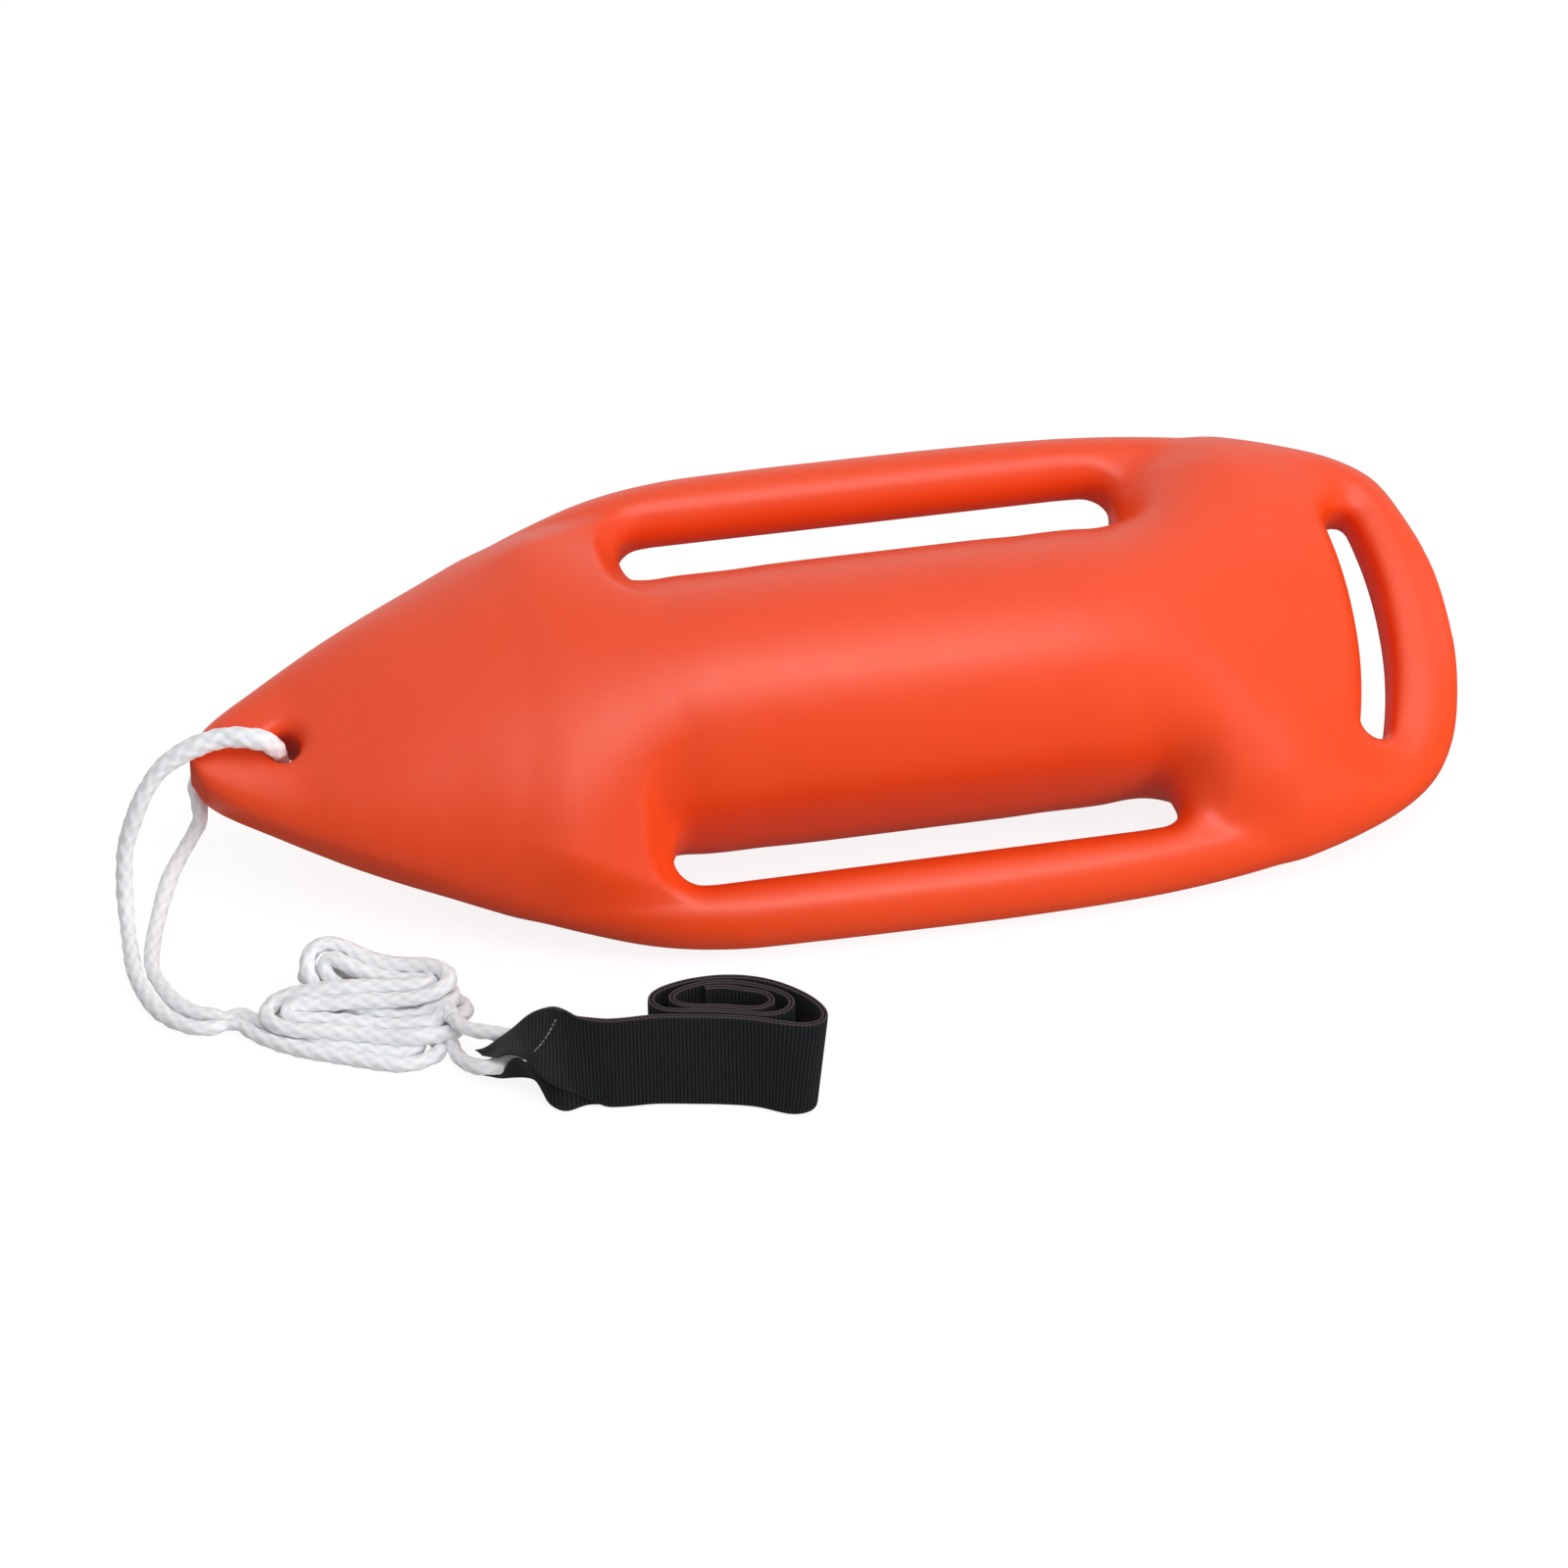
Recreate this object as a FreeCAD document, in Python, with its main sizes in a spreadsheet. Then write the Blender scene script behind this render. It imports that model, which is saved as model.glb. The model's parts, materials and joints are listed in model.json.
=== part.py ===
import FreeCAD, Part
import math
import os

# Rescue can on its towline: a hollow moulded hull with three moulded-in handles and a vent plug,
# a line through the hole in its nose and a shoulder belt. The hull lies rolled over on its belly
# and one side handle.
# Frame: +X along the hull from nose to tail, +Z up, ground at Z = 0, origin at the centre of the
# underside of the whole object's box. Pieces are modelled about the hull's centre and moved into
# this frame at the end.

V = FreeCAD.Vector
Z_AXIS = V(0, 0, 1)
THROUGH_ALL = 1
doc = FreeCAD.newDocument("rescue_can")

# ------------------------------------------------------------------ driving dimensions
sheet = doc.addObject("Spreadsheet::Sheet", "sizes")
CELLS = [
    # hull
    ("hull_length", 720.0),
    ("hull_half_width", 146.1),
    ("edge_radius", 19.0),          # half the thickness of the plate
    ("rim_fillet", 16.6),
    ("belly_radius", 80.0),
    ("wall", 3.5),
    # place of the hull's centre, and its roll about X
    ("roll_angle", 28.25),
    ("axis_height", 80.06),
    ("move_x", 24.26),
    ("move_y", 62.33),
    # side hand slots: X from the nose, Y from the centre line
    ("slot_start", 254.0),
    ("slot_stop", 542.0),
    ("slot_inner", 66.0),
    ("slot_outer", 106.4),
    ("slot_corner", 14.5),
    # tail hand slot: an arc, its middle at tail_slot_x from the nose, its angle to each side
    ("tail_slot_x", 672.5),
    ("tail_slot_radius", 186.0),
    ("tail_slot_gap", 21.6),
    ("tail_slot_angle", 19.0),
    # tow hole, X from the nose
    ("tow_hole_x", 52.0),
    ("tow_hole_radius", 7.6),
    ("tow_hole_lip", 4.5),
    ("tunnel_length", 80.0),
    # vent plug and its hole, X from the nose, seat measured down from the hull's axis
    ("plug_x", 420.0),
    ("plug_recess_radius", 9.0),
    ("plug_recess_length", 20.0),
    ("plug_bore_radius", 5.0),
    ("plug_bore_length", 40.0),
    ("plug_boss_length", 30.0),
    ("plug_boss_rise", 6.0),
    ("plug_seat", 77.0),
    ("plug_seat_gap", 0.02),
    ("plug_head_radius", 8.8),
    ("plug_head_height", 2.6),
    ("plug_head_chamfer", 0.8),
    ("plug_stem_radius", 4.95),
    ("plug_stem_length", 9.0),
    ("plug_stem_chamfer", 1.2),
    # line and belt
    ("rope_radius", 4.5),
    ("hank_clearance", 0.2),
    ("web_width", 50.0),
    ("web_thick", 1.5),
    ("web_gap", 0.9),               # between the two layers of the doubled belt
    ("coil_lean", 11.0),            # +Y shift of the coil from its lower to its upper edge
    ("thread_radius", 0.45),
    ("stitch_length", 5.2),
]
for row, (alias, value) in enumerate(CELLS, start=1):
    sheet.set("A%d" % row, alias)
    sheet.set("B%d" % row, repr(value))
    sheet.setAlias("B%d" % row, alias)
doc.recompute()


def size(alias):
    return float(getattr(sheet, alias))


HALF_LENGTH = size("hull_length") / 2.0
TOW_X = size("tow_hole_x") - HALF_LENGTH
PLUG_X = size("plug_x") - HALF_LENGTH


# ------------------------------------------------------------------ curves
def spline(points, periodic=False):
    curve = Part.BSplineCurve()
    curve.interpolate(points, PeriodicFlag=periodic)
    return curve


def beside(curve, point, offset):
    """A point of the curve moved by offset to the left of the curve's direction."""
    tangent = curve.tangent(curve.parameter(point))[0]
    return point + V(-tangent.y, tangent.x, 0) * offset


# ------------------------------------------------------------------ sketches and features
def new_body(name):
    return doc.addObject("PartDesign::Body", name)


def new_sketch(body, name, role):
    """Sketch on the body's origin plane with this role."""
    plane = next(f for f in body.Origin.OriginFeatures if getattr(f, "Role", "") == role)
    sketch = body.newObject("Sketcher::SketchObject", name)
    sketch.AttachmentSupport = (plane, "")
    sketch.MapMode = "FlatFace"
    return sketch


def add_line(sketch, start, end):
    sketch.addGeometry(Part.LineSegment(start, end), False)


def add_arc(sketch, centre, radius, start, end):
    sketch.addGeometry(Part.ArcOfCircle(Part.Circle(centre, Z_AXIS, radius), start, end), False)


def add_polygon(sketch, points):
    for start, end in zip(points, points[1:] + points[:1]):
        add_line(sketch, start, end)


def cut_through(body, name, sketch):
    pocket = body.newObject("PartDesign::Pocket", name)
    pocket.Profile = sketch
    pocket.Type = THROUGH_ALL
    pocket.Midplane = True
    doc.recompute()
    return pocket


def revolve(body, name, sketch, axis):
    turned = body.newObject("PartDesign::Revolution", name)
    turned.Profile = sketch
    turned.ReferenceAxis = (sketch, [axis])
    turned.Angle = 360.0


def cylinder(name, radius, length, position, rotation=None):
    """Cylinder along local +Z; radius and length are expressions."""
    solid = doc.addObject("Part::Cylinder", name)
    solid.setExpression("Radius", radius)
    solid.setExpression("Height", length)
    solid.Placement = FreeCAD.Placement(position, rotation or FreeCAD.Rotation())
    return solid


def boolean(kind, name, base, tool):
    result = doc.addObject("Part::" + kind, name)
    result.Base = base
    result.Tool = tool
    return result


# ------------------------------------------------------------------ hull, lying flat
# Plan outline: (distance from the nose, half-width).
PLAN = [
    (0.0, 0.0), (4.5, 14.6), (12.0, 23.4), (22.0, 31.0), (36.0, 39.8), (60.0, 54.3),
    (100.0, 76.1), (150.0, 100.9), (200.0, 123.3), (240.0, 137.3), (280.0, 144.2),
    (330.0, 145.9), (380.0, 146.1), (450.0, 145.7), (520.0, 143.5), (570.0, 138.4),
    (610.0, 131.2), (645.0, 122.0), (672.0, 110.6), (692.0, 96.0), (705.0, 78.0),
    (714.0, 55.0), (718.6, 30.0), (720.0, 0.0),
]
# Belly: (distance from the nose, radius of the round body).
BELLY = [
    (16.0, 0.0), (22.0, 10.0), (34.0, 17.0), (52.0, 22.5), (80.0, 31.5), (120.0, 43.5),
    (160.0, 54.0), (200.0, 63.0), (240.0, 70.5), (280.0, 76.0), (310.0, 78.6), (335.0, 79.7),
    (360.0, 80.0), (390.0, 80.0), (420.0, 80.0), (445.0, 79.8), (480.0, 78.4), (520.0, 74.3),
    (560.0, 67.0), (600.0, 55.0), (628.0, 42.0), (645.0, 30.0), (653.0, 18.0), (656.0, 0.0),
]
BELLY_NOSE_EXTRA = 2.0      # further inset of the cavity's belly at its nose end


def outline(inset):
    """Closed plan outline, pulled in by inset."""
    scale_x = size("hull_length") / PLAN[-1][0]
    scale_y = size("hull_half_width") / max(width for _, width in PLAN)
    left = [V(x * scale_x - HALF_LENGTH, width * scale_y, 0) for x, width in PLAN]
    ring = left + [V(p.x, -p.y, 0) for p in reversed(left[1:-1])]
    if inset:
        base = spline(ring, periodic=True)
        ring = [beside(base, point, -inset) for point in ring]
    return spline(ring, periodic=True)


def belly_line(inset):
    """Half-profile of the belly from nose to tail, pulled in by inset."""
    scale = size("belly_radius") / max(radius for _, radius in BELLY)
    line = [V(x - HALF_LENGTH, radius * scale, 0) for x, radius in BELLY]
    if inset:
        base = spline(line)
        inner = [beside(base, point, -inset) for point in line[1:-1]]
        line = ([line[0] + V(inset + BELLY_NOSE_EXTRA, 0, 0)] + inner
                + [line[-1] - V(inset, 0, 0)])
    return line


def side_slot(sketch, grow, side):
    """Rounded rectangle on the +Y (side 1) or -Y (side -1) side, widened all round by grow."""
    x0 = size("slot_start") - HALF_LENGTH - grow
    x1 = size("slot_stop") - HALF_LENGTH + grow
    y0 = size("slot_inner") - grow
    y1 = size("slot_outer") + grow
    if side < 0:
        y0, y1 = -y1, -y0
    corner = size("slot_corner") + grow
    left, right = x0 + corner, x1 - corner
    low, high = y0 + corner, y1 - corner
    add_arc(sketch, V(left, low, 0), corner, math.pi, 1.5 * math.pi)
    add_arc(sketch, V(right, low, 0), corner, 1.5 * math.pi, 2.0 * math.pi)
    add_arc(sketch, V(right, high, 0), corner, 0.0, 0.5 * math.pi)
    add_arc(sketch, V(left, high, 0), corner, 0.5 * math.pi, math.pi)
    add_line(sketch, V(left, y0, 0), V(right, y0, 0))
    add_line(sketch, V(x1, low, 0), V(x1, high, 0))
    add_line(sketch, V(right, y1, 0), V(left, y1, 0))
    add_line(sketch, V(x0, high, 0), V(x0, low, 0))


def tail_slot(sketch, grow):
    """Curved slot with round ends inside the tail handle, widened all round by grow."""
    radius = size("tail_slot_radius")
    half_gap = size("tail_slot_gap") / 2.0 + grow
    centre_x = size("tail_slot_x") - HALF_LENGTH - radius
    angle = math.radians(size("tail_slot_angle"))
    for arc_radius in (radius + half_gap, radius - half_gap):
        add_arc(sketch, V(centre_x, 0, 0), arc_radius, -angle, angle)
    for side, start in ((1.0, angle), (-1.0, -angle + math.pi)):
        end = V(centre_x + radius * math.cos(angle), side * radius * math.sin(angle), 0)
        add_arc(sketch, end, half_gap, start, start + math.pi)


def flat_edges(shape, level, tolerance=1e-3):
    """Names of the edges that lie in the planes Z = +level and Z = -level."""
    names = []
    for i, edge in enumerate(shape.Edges, start=1):
        box = edge.BoundBox
        if box.ZLength < tolerance and abs(abs(box.ZMin) - level) < tolerance:
            names.append("Edge%d" % i)
    return names


def hull_solid(name, inset_alias=None):
    """Round-edged plate with hand slots, plus the round belly, every wall pulled in."""
    inset = size(inset_alias) if inset_alias else 0.0
    less_inset = " - sizes." + inset_alias if inset_alias else ""
    body = new_body(name)

    sketch = new_sketch(body, name + "_outline", "XY_Plane")
    sketch.addGeometry(outline(inset), False)
    plate = body.newObject("PartDesign::Pad", name + "_plate")
    plate.Profile = sketch
    plate.Midplane = True
    plate.setExpression("Length", "2 * (sizes.edge_radius%s)" % less_inset)
    doc.recompute()

    sketch = new_sketch(body, name + "_slots", "XY_Plane")
    side_slot(sketch, inset, 1)
    side_slot(sketch, inset, -1)
    tail_slot(sketch, inset)
    slotted = cut_through(body, name + "_hand_slots", sketch)

    rims = body.newObject("PartDesign::Fillet", name + "_rims")
    rims.Base = (slotted, flat_edges(slotted.Shape, size("edge_radius") - inset))
    rims.setExpression("Radius", "sizes.rim_fillet" + less_inset)
    doc.recompute()

    sketch = new_sketch(body, name + "_belly_profile", "XZ_Plane")
    line = belly_line(inset)
    sketch.addGeometry(spline(line), False)
    add_line(sketch, line[-1], line[0])
    revolve(body, name + "_belly", sketch, "H_Axis")
    doc.recompute()
    return body


def tow_hole_rings(shape):
    """Names of the two edges where the tow hole meets the hull's faces."""
    radius = size("tow_hole_radius")
    names = []
    for i, edge in enumerate(shape.Edges, start=1):
        points = edge.discretize(Number=9)
        on_wall = all(abs(math.hypot(p.x - TOW_X, p.y) - radius) < 0.01 for p in points)
        # The seam of the hole's wall has no width in X.
        if on_wall and max(p.x for p in points) - min(p.x for p in points) > 1.0:
            names.append("Edge%d" % i)
    return names


def add_tow_hole(body):
    """Hole through the nose with a rounded lip on both faces."""
    sketch = new_sketch(body, "tow_hole_circle", "XY_Plane")
    circle = Part.Circle(V(TOW_X, 0, 0), Z_AXIS, size("tow_hole_radius"))
    sketch.addGeometry(circle, False)
    hole = cut_through(body, "tow_hole", sketch)
    lip = body.newObject("PartDesign::Fillet", "tow_hole_lip")
    lip.Base = (hole, tow_hole_rings(hole.Shape))
    lip.setExpression("Radius", "sizes.tow_hole_lip")
    doc.recompute()


PLUG_BORE_START = -90.0     # Z, below the belly


def make_hull_shell():
    outside = hull_solid("hull_outside")
    add_tow_hole(outside)
    cavity = hull_solid("hull_inside", "wall")

    # The wall round the tow hole and the boss of the vent plug stand inside the cavity.
    downward = FreeCAD.Rotation(V(1, 0, 0), 180)
    seat = -size("plug_seat")
    tunnel = cylinder("tunnel_wall", "sizes.tow_hole_radius + sizes.wall",
                      "sizes.tunnel_length", V(TOW_X, 0, -size("tunnel_length") / 2.0))
    boss = cylinder("plug_boss", "sizes.plug_recess_radius + sizes.wall",
                    "sizes.plug_boss_length", V(PLUG_X, 0, seat + size("plug_boss_rise")),
                    downward)
    cavity = boolean("Cut", "cavity_without_tunnel", cavity, tunnel)
    cavity = boolean("Cut", "cavity_without_boss", cavity, boss)
    hollowed = boolean("Cut", "hull_hollowed", outside, cavity)

    bore = cylinder("plug_bore", "sizes.plug_bore_radius", "sizes.plug_bore_length",
                    V(PLUG_X, 0, PLUG_BORE_START))
    recess = cylinder("plug_recess", "sizes.plug_recess_radius", "sizes.plug_recess_length",
                      V(PLUG_X, 0, seat), downward)
    plug_hole = boolean("Fuse", "plug_hole_tool", bore, recess)
    shell = boolean("Cut", "hull_shell_cut", hollowed, plug_hole)
    shell.Label = "hull_shell"
    return shell


# ------------------------------------------------------------------ vent plug
def make_vent_plug():
    """Headed plug turned about Z, head down, stem up into the hull."""
    head, head_chamfer = size("plug_head_radius"), size("plug_head_chamfer")
    stem, stem_chamfer = size("plug_stem_radius"), size("plug_stem_chamfer")
    seat = -size("plug_seat")
    bottom = seat - size("plug_head_height")
    shoulder = seat - size("plug_seat_gap")
    top = seat + size("plug_stem_length")
    plug = new_body("vent_plug_body")
    sketch = new_sketch(plug, "plug_profile", "XZ_Plane")
    add_polygon(sketch, [
        V(0, bottom, 0), V(head - head_chamfer, bottom, 0), V(head, bottom + head_chamfer, 0),
        V(head, shoulder, 0), V(stem, shoulder, 0), V(stem, top - stem_chamfer, 0),
        V(stem - stem_chamfer, top, 0), V(0, top, 0),
    ])
    revolve(plug, "plug_turned", sketch, "V_Axis")
    plug.Label = "vent_plug"
    return plug


# ------------------------------------------------------------------ line
# Centre line points (x, y, z) from the hull's centre. The loop leaves the hank, passes round
# ahead of the nose and up over it, goes down through the tow hole and returns under the nose
# to the hank.
TOW_LOOP = [
    (-358.5, -130.6, -75.3), (-366.0, -130.0, -75.4), (-377.5, -126.4, -75.4),
    (-391.0, -113.4, -75.4), (-399.6, -93.2, -75.4), (-403.4, -74.0, -75.4),
    (-404.0, -56.0, -75.0), (-404.0, -40.0, -71.5), (-403.6, -27.0, -63.0),
    (-402.5, -21.4, -50.0), (-400.0, -17.5, -33.0), (-393.5, -15.4, -15.0),
    (-385.8, -13.3, 0.0), (-376.0, -11.0, 11.5), (-364.5, -10.0, 19.0),
    (-353.3, -10.0, 24.0), (-342.3, -10.5, 26.8), (-331.9, -12.6, 27.6),
    (-323.5, -14.6, 26.6), (-316.0, -15.2, 23.2), (-311.6, -11.6, 17.0),
    (-309.6, -6.2, 10.5), (-308.6, 0.0, 0.0), (-309.6, 6.2, -10.5),
    (-311.8, 11.2, -18.6), (-316.4, 16.4, -26.6), (-325.0, 22.6, -33.0),
    (-337.0, 28.4, -35.2), (-347.6, 31.0, -31.0), (-354.6, 28.6, -25.0),
    (-356.4, 21.6, -25.6), (-354.0, 14.0, -31.4), (-354.0, 9.0, -39.0),
    (-359.5, 6.6, -46.0), (-368.0, 0.0, -53.0), (-377.6, -12.4, -61.0),
    (-385.6, -31.6, -69.0), (-391.2, -50.6, -74.0), (-393.8, -72.4, -75.4),
    (-390.0, -89.0, -75.4), (-382.2, -106.6, -75.4), (-372.0, -116.8, -75.0),
    (-364.0, -120.4, -74.6), (-358.5, -120.9, -74.4),
]
# The line's far bight: two legs out of the hank and round through the belt's eye.
ROPE_BIGHT = [
    (-235.4, -159.0, -63.0), (-236.0, -167.0, -61.6), (-234.6, -177.0, -60.0),
    (-230.6, -186.0, -57.4), (-225.4, -194.6, -54.0), (-220.8, -201.6, -53.6),
    (-218.4, -204.8, -58.4), (-218.0, -205.2, -64.0), (-218.6, -204.6, -69.6),
    (-221.4, -201.4, -74.2), (-227.2, -196.0, -75.4), (-234.0, -188.0, -75.4),
    (-239.6, -178.0, -75.4), (-242.0, -169.0, -74.4), (-242.2, -160.0, -72.6),
]
# Hank stations: (x, centre y, half width, half height).
HANK = [
    (-354.5, -125.6, 8.6, 5.4), (-340.0, -132.0, 13.0, 8.0), (-318.0, -131.0, 24.0, 14.0),
    (-297.0, -130.5, 31.0, 17.0), (-270.0, -146.0, 29.0, 17.0), (-250.0, -148.0, 25.0, 16.0),
    (-237.0, -146.0, 10.5, 9.0),
]


def swept_rope(label, points):
    name = label + "_sweep"
    curve = spline([V(*point) for point in points])
    spine = doc.addObject("Part::Feature", name + "_path")
    spine.Shape = curve.toShape()
    section = doc.addObject("Part::Circle", name + "_section")
    section.setExpression("Radius", "sizes.rope_radius")
    tangent = curve.tangent(curve.FirstParameter)[0]
    section.Placement = FreeCAD.Placement(V(*points[0]), FreeCAD.Rotation(Z_AXIS, tangent))
    doc.recompute()
    sweep = doc.addObject("Part::Sweep", name)
    sweep.Sections = [section]
    sweep.Spine = (spine, ["Edge1"])
    sweep.Solid = True
    sweep.Frenet = False
    sweep.Label = label
    return sweep


def make_hank():
    """The folded bundle of line as one lofted solid, its wide sections just off the ground."""
    across_x = FreeCAD.Rotation(V(0, 1, 0), V(0, 0, 1), V(1, 0, 0), "ZXY")
    sections = []
    for i, (x, y, half_width, half_height) in enumerate(HANK):
        section = doc.addObject("Part::Ellipse", "hank_section_%d" % i)
        section.MajorRadius = half_width
        section.MinorRadius = half_height
        z = size("hank_clearance") + half_height - size("axis_height")
        section.Placement = FreeCAD.Placement(V(x, y, z), across_x)
        sections.append(section)
    hank = doc.addObject("Part::Loft", "hank_loft")
    hank.Sections = sections
    hank.Solid = True
    hank.Ruled = False
    hank.Label = "line_hank"
    return hank


# ------------------------------------------------------------------ shoulder belt
# Belt points are (x, y) from the hull's centre; heights are above the ground.
# Centre line of the doubled belt at its upper edge, from the eye to the coil's inner end.
COIL = [
    (-174.5, -216.2), (-169.8, -217.8), (-164.9, -219.0), (-159.9, -219.6), (-154.9, -219.9),
    (-149.9, -220.0), (-144.9, -220.1), (-140.0, -220.6), (-135.0, -221.4), (-130.1, -222.4),
    (-125.2, -223.4), (-120.3, -224.5), (-115.4, -225.5), (-110.6, -226.6), (-105.7, -227.8),
    (-100.9, -229.1), (-96.1, -230.5), (-91.3, -232.2), (-86.7, -234.1), (-82.2, -236.2),
    (-77.7, -238.3), (-73.1, -240.3), (-68.4, -242.0), (-63.5, -243.0), (-58.5, -242.7),
    (-54.2, -240.2), (-52.6, -235.6), (-53.4, -230.7), (-55.4, -226.1), (-58.0, -221.8),
    (-61.0, -217.8), (-64.3, -214.1), (-67.9, -210.6), (-71.7, -207.4), (-75.8, -204.4),
    (-80.1, -201.9), (-84.6, -199.8), (-89.3, -198.0), (-94.1, -196.7), (-99.0, -195.7),
    (-104.0, -195.1), (-109.0, -194.9), (-114.0, -195.0), (-119.0, -195.4), (-123.9, -196.3),
    (-128.7, -197.5), (-133.4, -199.2), (-137.6, -201.9), (-140.3, -206.1), (-139.1, -210.8),
    (-135.2, -213.8), (-130.5, -215.5), (-125.6, -216.7), (-120.7, -217.8), (-115.8, -218.8),
    (-111.0, -219.9), (-106.1, -221.2), (-101.3, -222.6), (-96.6, -224.1), (-91.8, -225.8),
    (-87.1, -227.5), (-82.3, -228.8), (-77.3, -229.1), (-72.7, -227.4), (-70.2, -223.3),
    (-71.2, -218.5), (-74.4, -214.6), (-78.2, -211.3), (-82.3, -208.5), (-86.7, -206.1),
    (-91.3, -204.1), (-96.0, -202.6), (-100.9, -201.4), (-105.9, -200.7), (-110.9, -200.6),
    (-115.8, -201.2), (-120.7, -202.1), (-125.6, -203.4), (-129.4, -206.4), (-127.5, -210.5),
    (-122.8, -212.2), (-117.9, -213.3), (-113.0, -214.2), (-108.1, -215.3), (-103.3, -216.5),
    (-98.5, -218.0), (-93.8, -219.7), (-89.1, -221.4), (-84.2, -222.1), (-80.2, -219.6),
    (-81.7, -215.1), (-85.9, -212.4), (-90.5, -210.4),
]
COIL_SAMPLES = 120
# Centre lines of the eye's two layers: the -Y one runs to the bight, the +Y one back from it.
EYE_FRONT = [
    (-177.5, -224.8), (-190.0, -219.6), (-200.0, -214.6),
    (-207.0, -211.6), (-213.0, -211.0), (-218.2, -211.2),
]
EYE_BACK = [
    (-218.2, -199.0), (-213.0, -200.4), (-207.4, -207.4),
    (-200.6, -212.0), (-191.0, -217.4), (-178.4, -222.6),
]
EYE_SAMPLES = 24
# What is cut away above and below the eye to narrow it towards the bight: (x, height).
EYE_CUTS = [
    [(-240.0, 20.0), (-217.0, 20.0), (-206.0, 36.0), (-197.0, 46.0), (-188.0, 60.0),
     (-240.0, 60.0)],
    [(-240.0, 11.2), (-217.0, 11.2), (-206.0, 3.4), (-196.0, -1.0), (-240.0, -1.0)],
]
STITCHES = 9
STITCH_START_X, STITCH_RUN = -190.5, 12.0       # the row runs towards -X
STITCH_TOP, STITCH_DROP = 42.0, 22.0            # and downwards
STITCH_DIRECTION = V(0.4, 0.92, 0)
STITCH_SETBACK = (1.1, 2.4)                     # from a stitch's middle to its start, x and y


def strip_side(points, count, offset):
    """Count points along the curve through points, moved sideways by offset."""
    curve = spline([V(x, y, 0) for x, y in points])
    return [beside(curve, p, offset) for p in curve.toShape().discretize(Number=count)]


def hairpin(sketch, points, count):
    """Doubled strip, its two layers joined by a flat fold at the far end."""
    inner = size("web_gap") / 2.0
    outer = inner + size("web_thick")
    right_out = strip_side(points, count, -outer)
    left_out = strip_side(points, count, outer)
    # The gap stops two points short of the end, which leaves the fold.
    right_in = strip_side(points, count, -inner)[:-2]
    left_in = strip_side(points, count, inner)[:-2]
    for rail in (right_out, right_in, left_in, left_out):
        sketch.addGeometry(spline(rail), False)
    add_line(sketch, right_out[0], right_in[0])
    add_line(sketch, left_in[0], left_out[0])
    add_line(sketch, right_out[-1], left_out[-1])
    add_line(sketch, right_in[-1], left_in[-1])


def webbing_pad(body, name, sketch, lean):
    """Webbing standing on its edge, shifted by lean in +Y over its width."""
    pad = body.newObject("PartDesign::Pad", name)
    pad.Profile = sketch
    pad.UseCustomVector = True
    pad.Direction = V(0.0, lean, size("web_width"))
    pad.AlongSketchNormal = True
    pad.setExpression("Length", "sizes.web_width")


def make_belt_coil():
    lean = size("coil_lean")
    coil = new_body("belt_coil_body")
    sketch = new_sketch(coil, "belt_coil_plan", "XY_Plane")
    hairpin(sketch, [(x, y - lean) for x, y in COIL], COIL_SAMPLES)
    webbing_pad(coil, "belt_coil_pad", sketch, lean)
    coil.Label = "belt_coil"
    return coil


def make_belt_eye():
    """The belt opens round the line's bight and narrows to it."""
    eye = new_body("belt_eye_body")
    sketch = new_sketch(eye, "belt_eye_plan", "XY_Plane")
    half_thick = size("web_thick") / 2.0
    front_out = strip_side(EYE_FRONT, EYE_SAMPLES, half_thick)
    front_in = strip_side(EYE_FRONT, EYE_SAMPLES, -half_thick)
    back_in = strip_side(EYE_BACK, EYE_SAMPLES, -half_thick)
    back_out = strip_side(EYE_BACK, EYE_SAMPLES, half_thick)
    for rail in (front_out, front_in, back_in, back_out):
        sketch.addGeometry(spline(rail), False)
    add_line(sketch, front_out[0], front_in[0])
    add_line(sketch, back_out[-1], back_in[-1])

    # Round end that joins the two layers.
    front_end, back_start = V(*EYE_FRONT[-1], 0), V(*EYE_BACK[0], 0)
    centre = (front_end + back_start) * 0.5
    radius = (front_end - back_start).Length / 2.0
    for start, end, bend in ((front_in[-1], back_in[0], radius - half_thick),
                             (front_out[-1], back_out[0], radius + half_thick)):
        sketch.addGeometry(Part.Arc(start, centre + V(-bend, 0, 0), end), False)
    webbing_pad(eye, "belt_eye_pad", sketch, 0.0)
    doc.recompute()

    sketch = new_sketch(eye, "belt_eye_taper", "XZ_Plane")
    for cut in EYE_CUTS:
        add_polygon(sketch, [V(x, z, 0) for x, z in cut])
    cut_through(eye, "belt_eye_narrowed", sketch)
    eye.Label = "belt_eye"
    return eye


def make_stitches():
    """Slanting row of threads through both layers of the eye."""
    middle = spline([V((front[0] + back[0]) / 2, (front[1] + back[1]) / 2, 0)
                     for front, back in zip(EYE_FRONT[:4], EYE_BACK[::-1][:4])])
    samples = middle.toShape().discretize(Number=400)
    rotation = FreeCAD.Rotation(Z_AXIS, STITCH_DIRECTION)
    back_x, back_y = STITCH_SETBACK
    threads = []
    for i in range(STITCHES):
        along = i / (STITCHES - 1.0)
        x = STITCH_START_X - STITCH_RUN * along
        y = min(samples, key=lambda point: abs(point.x - x)).y
        z = STITCH_TOP - STITCH_DROP * along
        threads.append(cylinder("stitch_%d" % (i + 1), "sizes.thread_radius",
                                "sizes.stitch_length", V(x - back_x, y - back_y, z), rotation))
    stitches = doc.addObject("Part::Compound", "belt_stitches_row")
    stitches.Links = threads
    stitches.Label = "belt_stitches"
    return stitches


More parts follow.
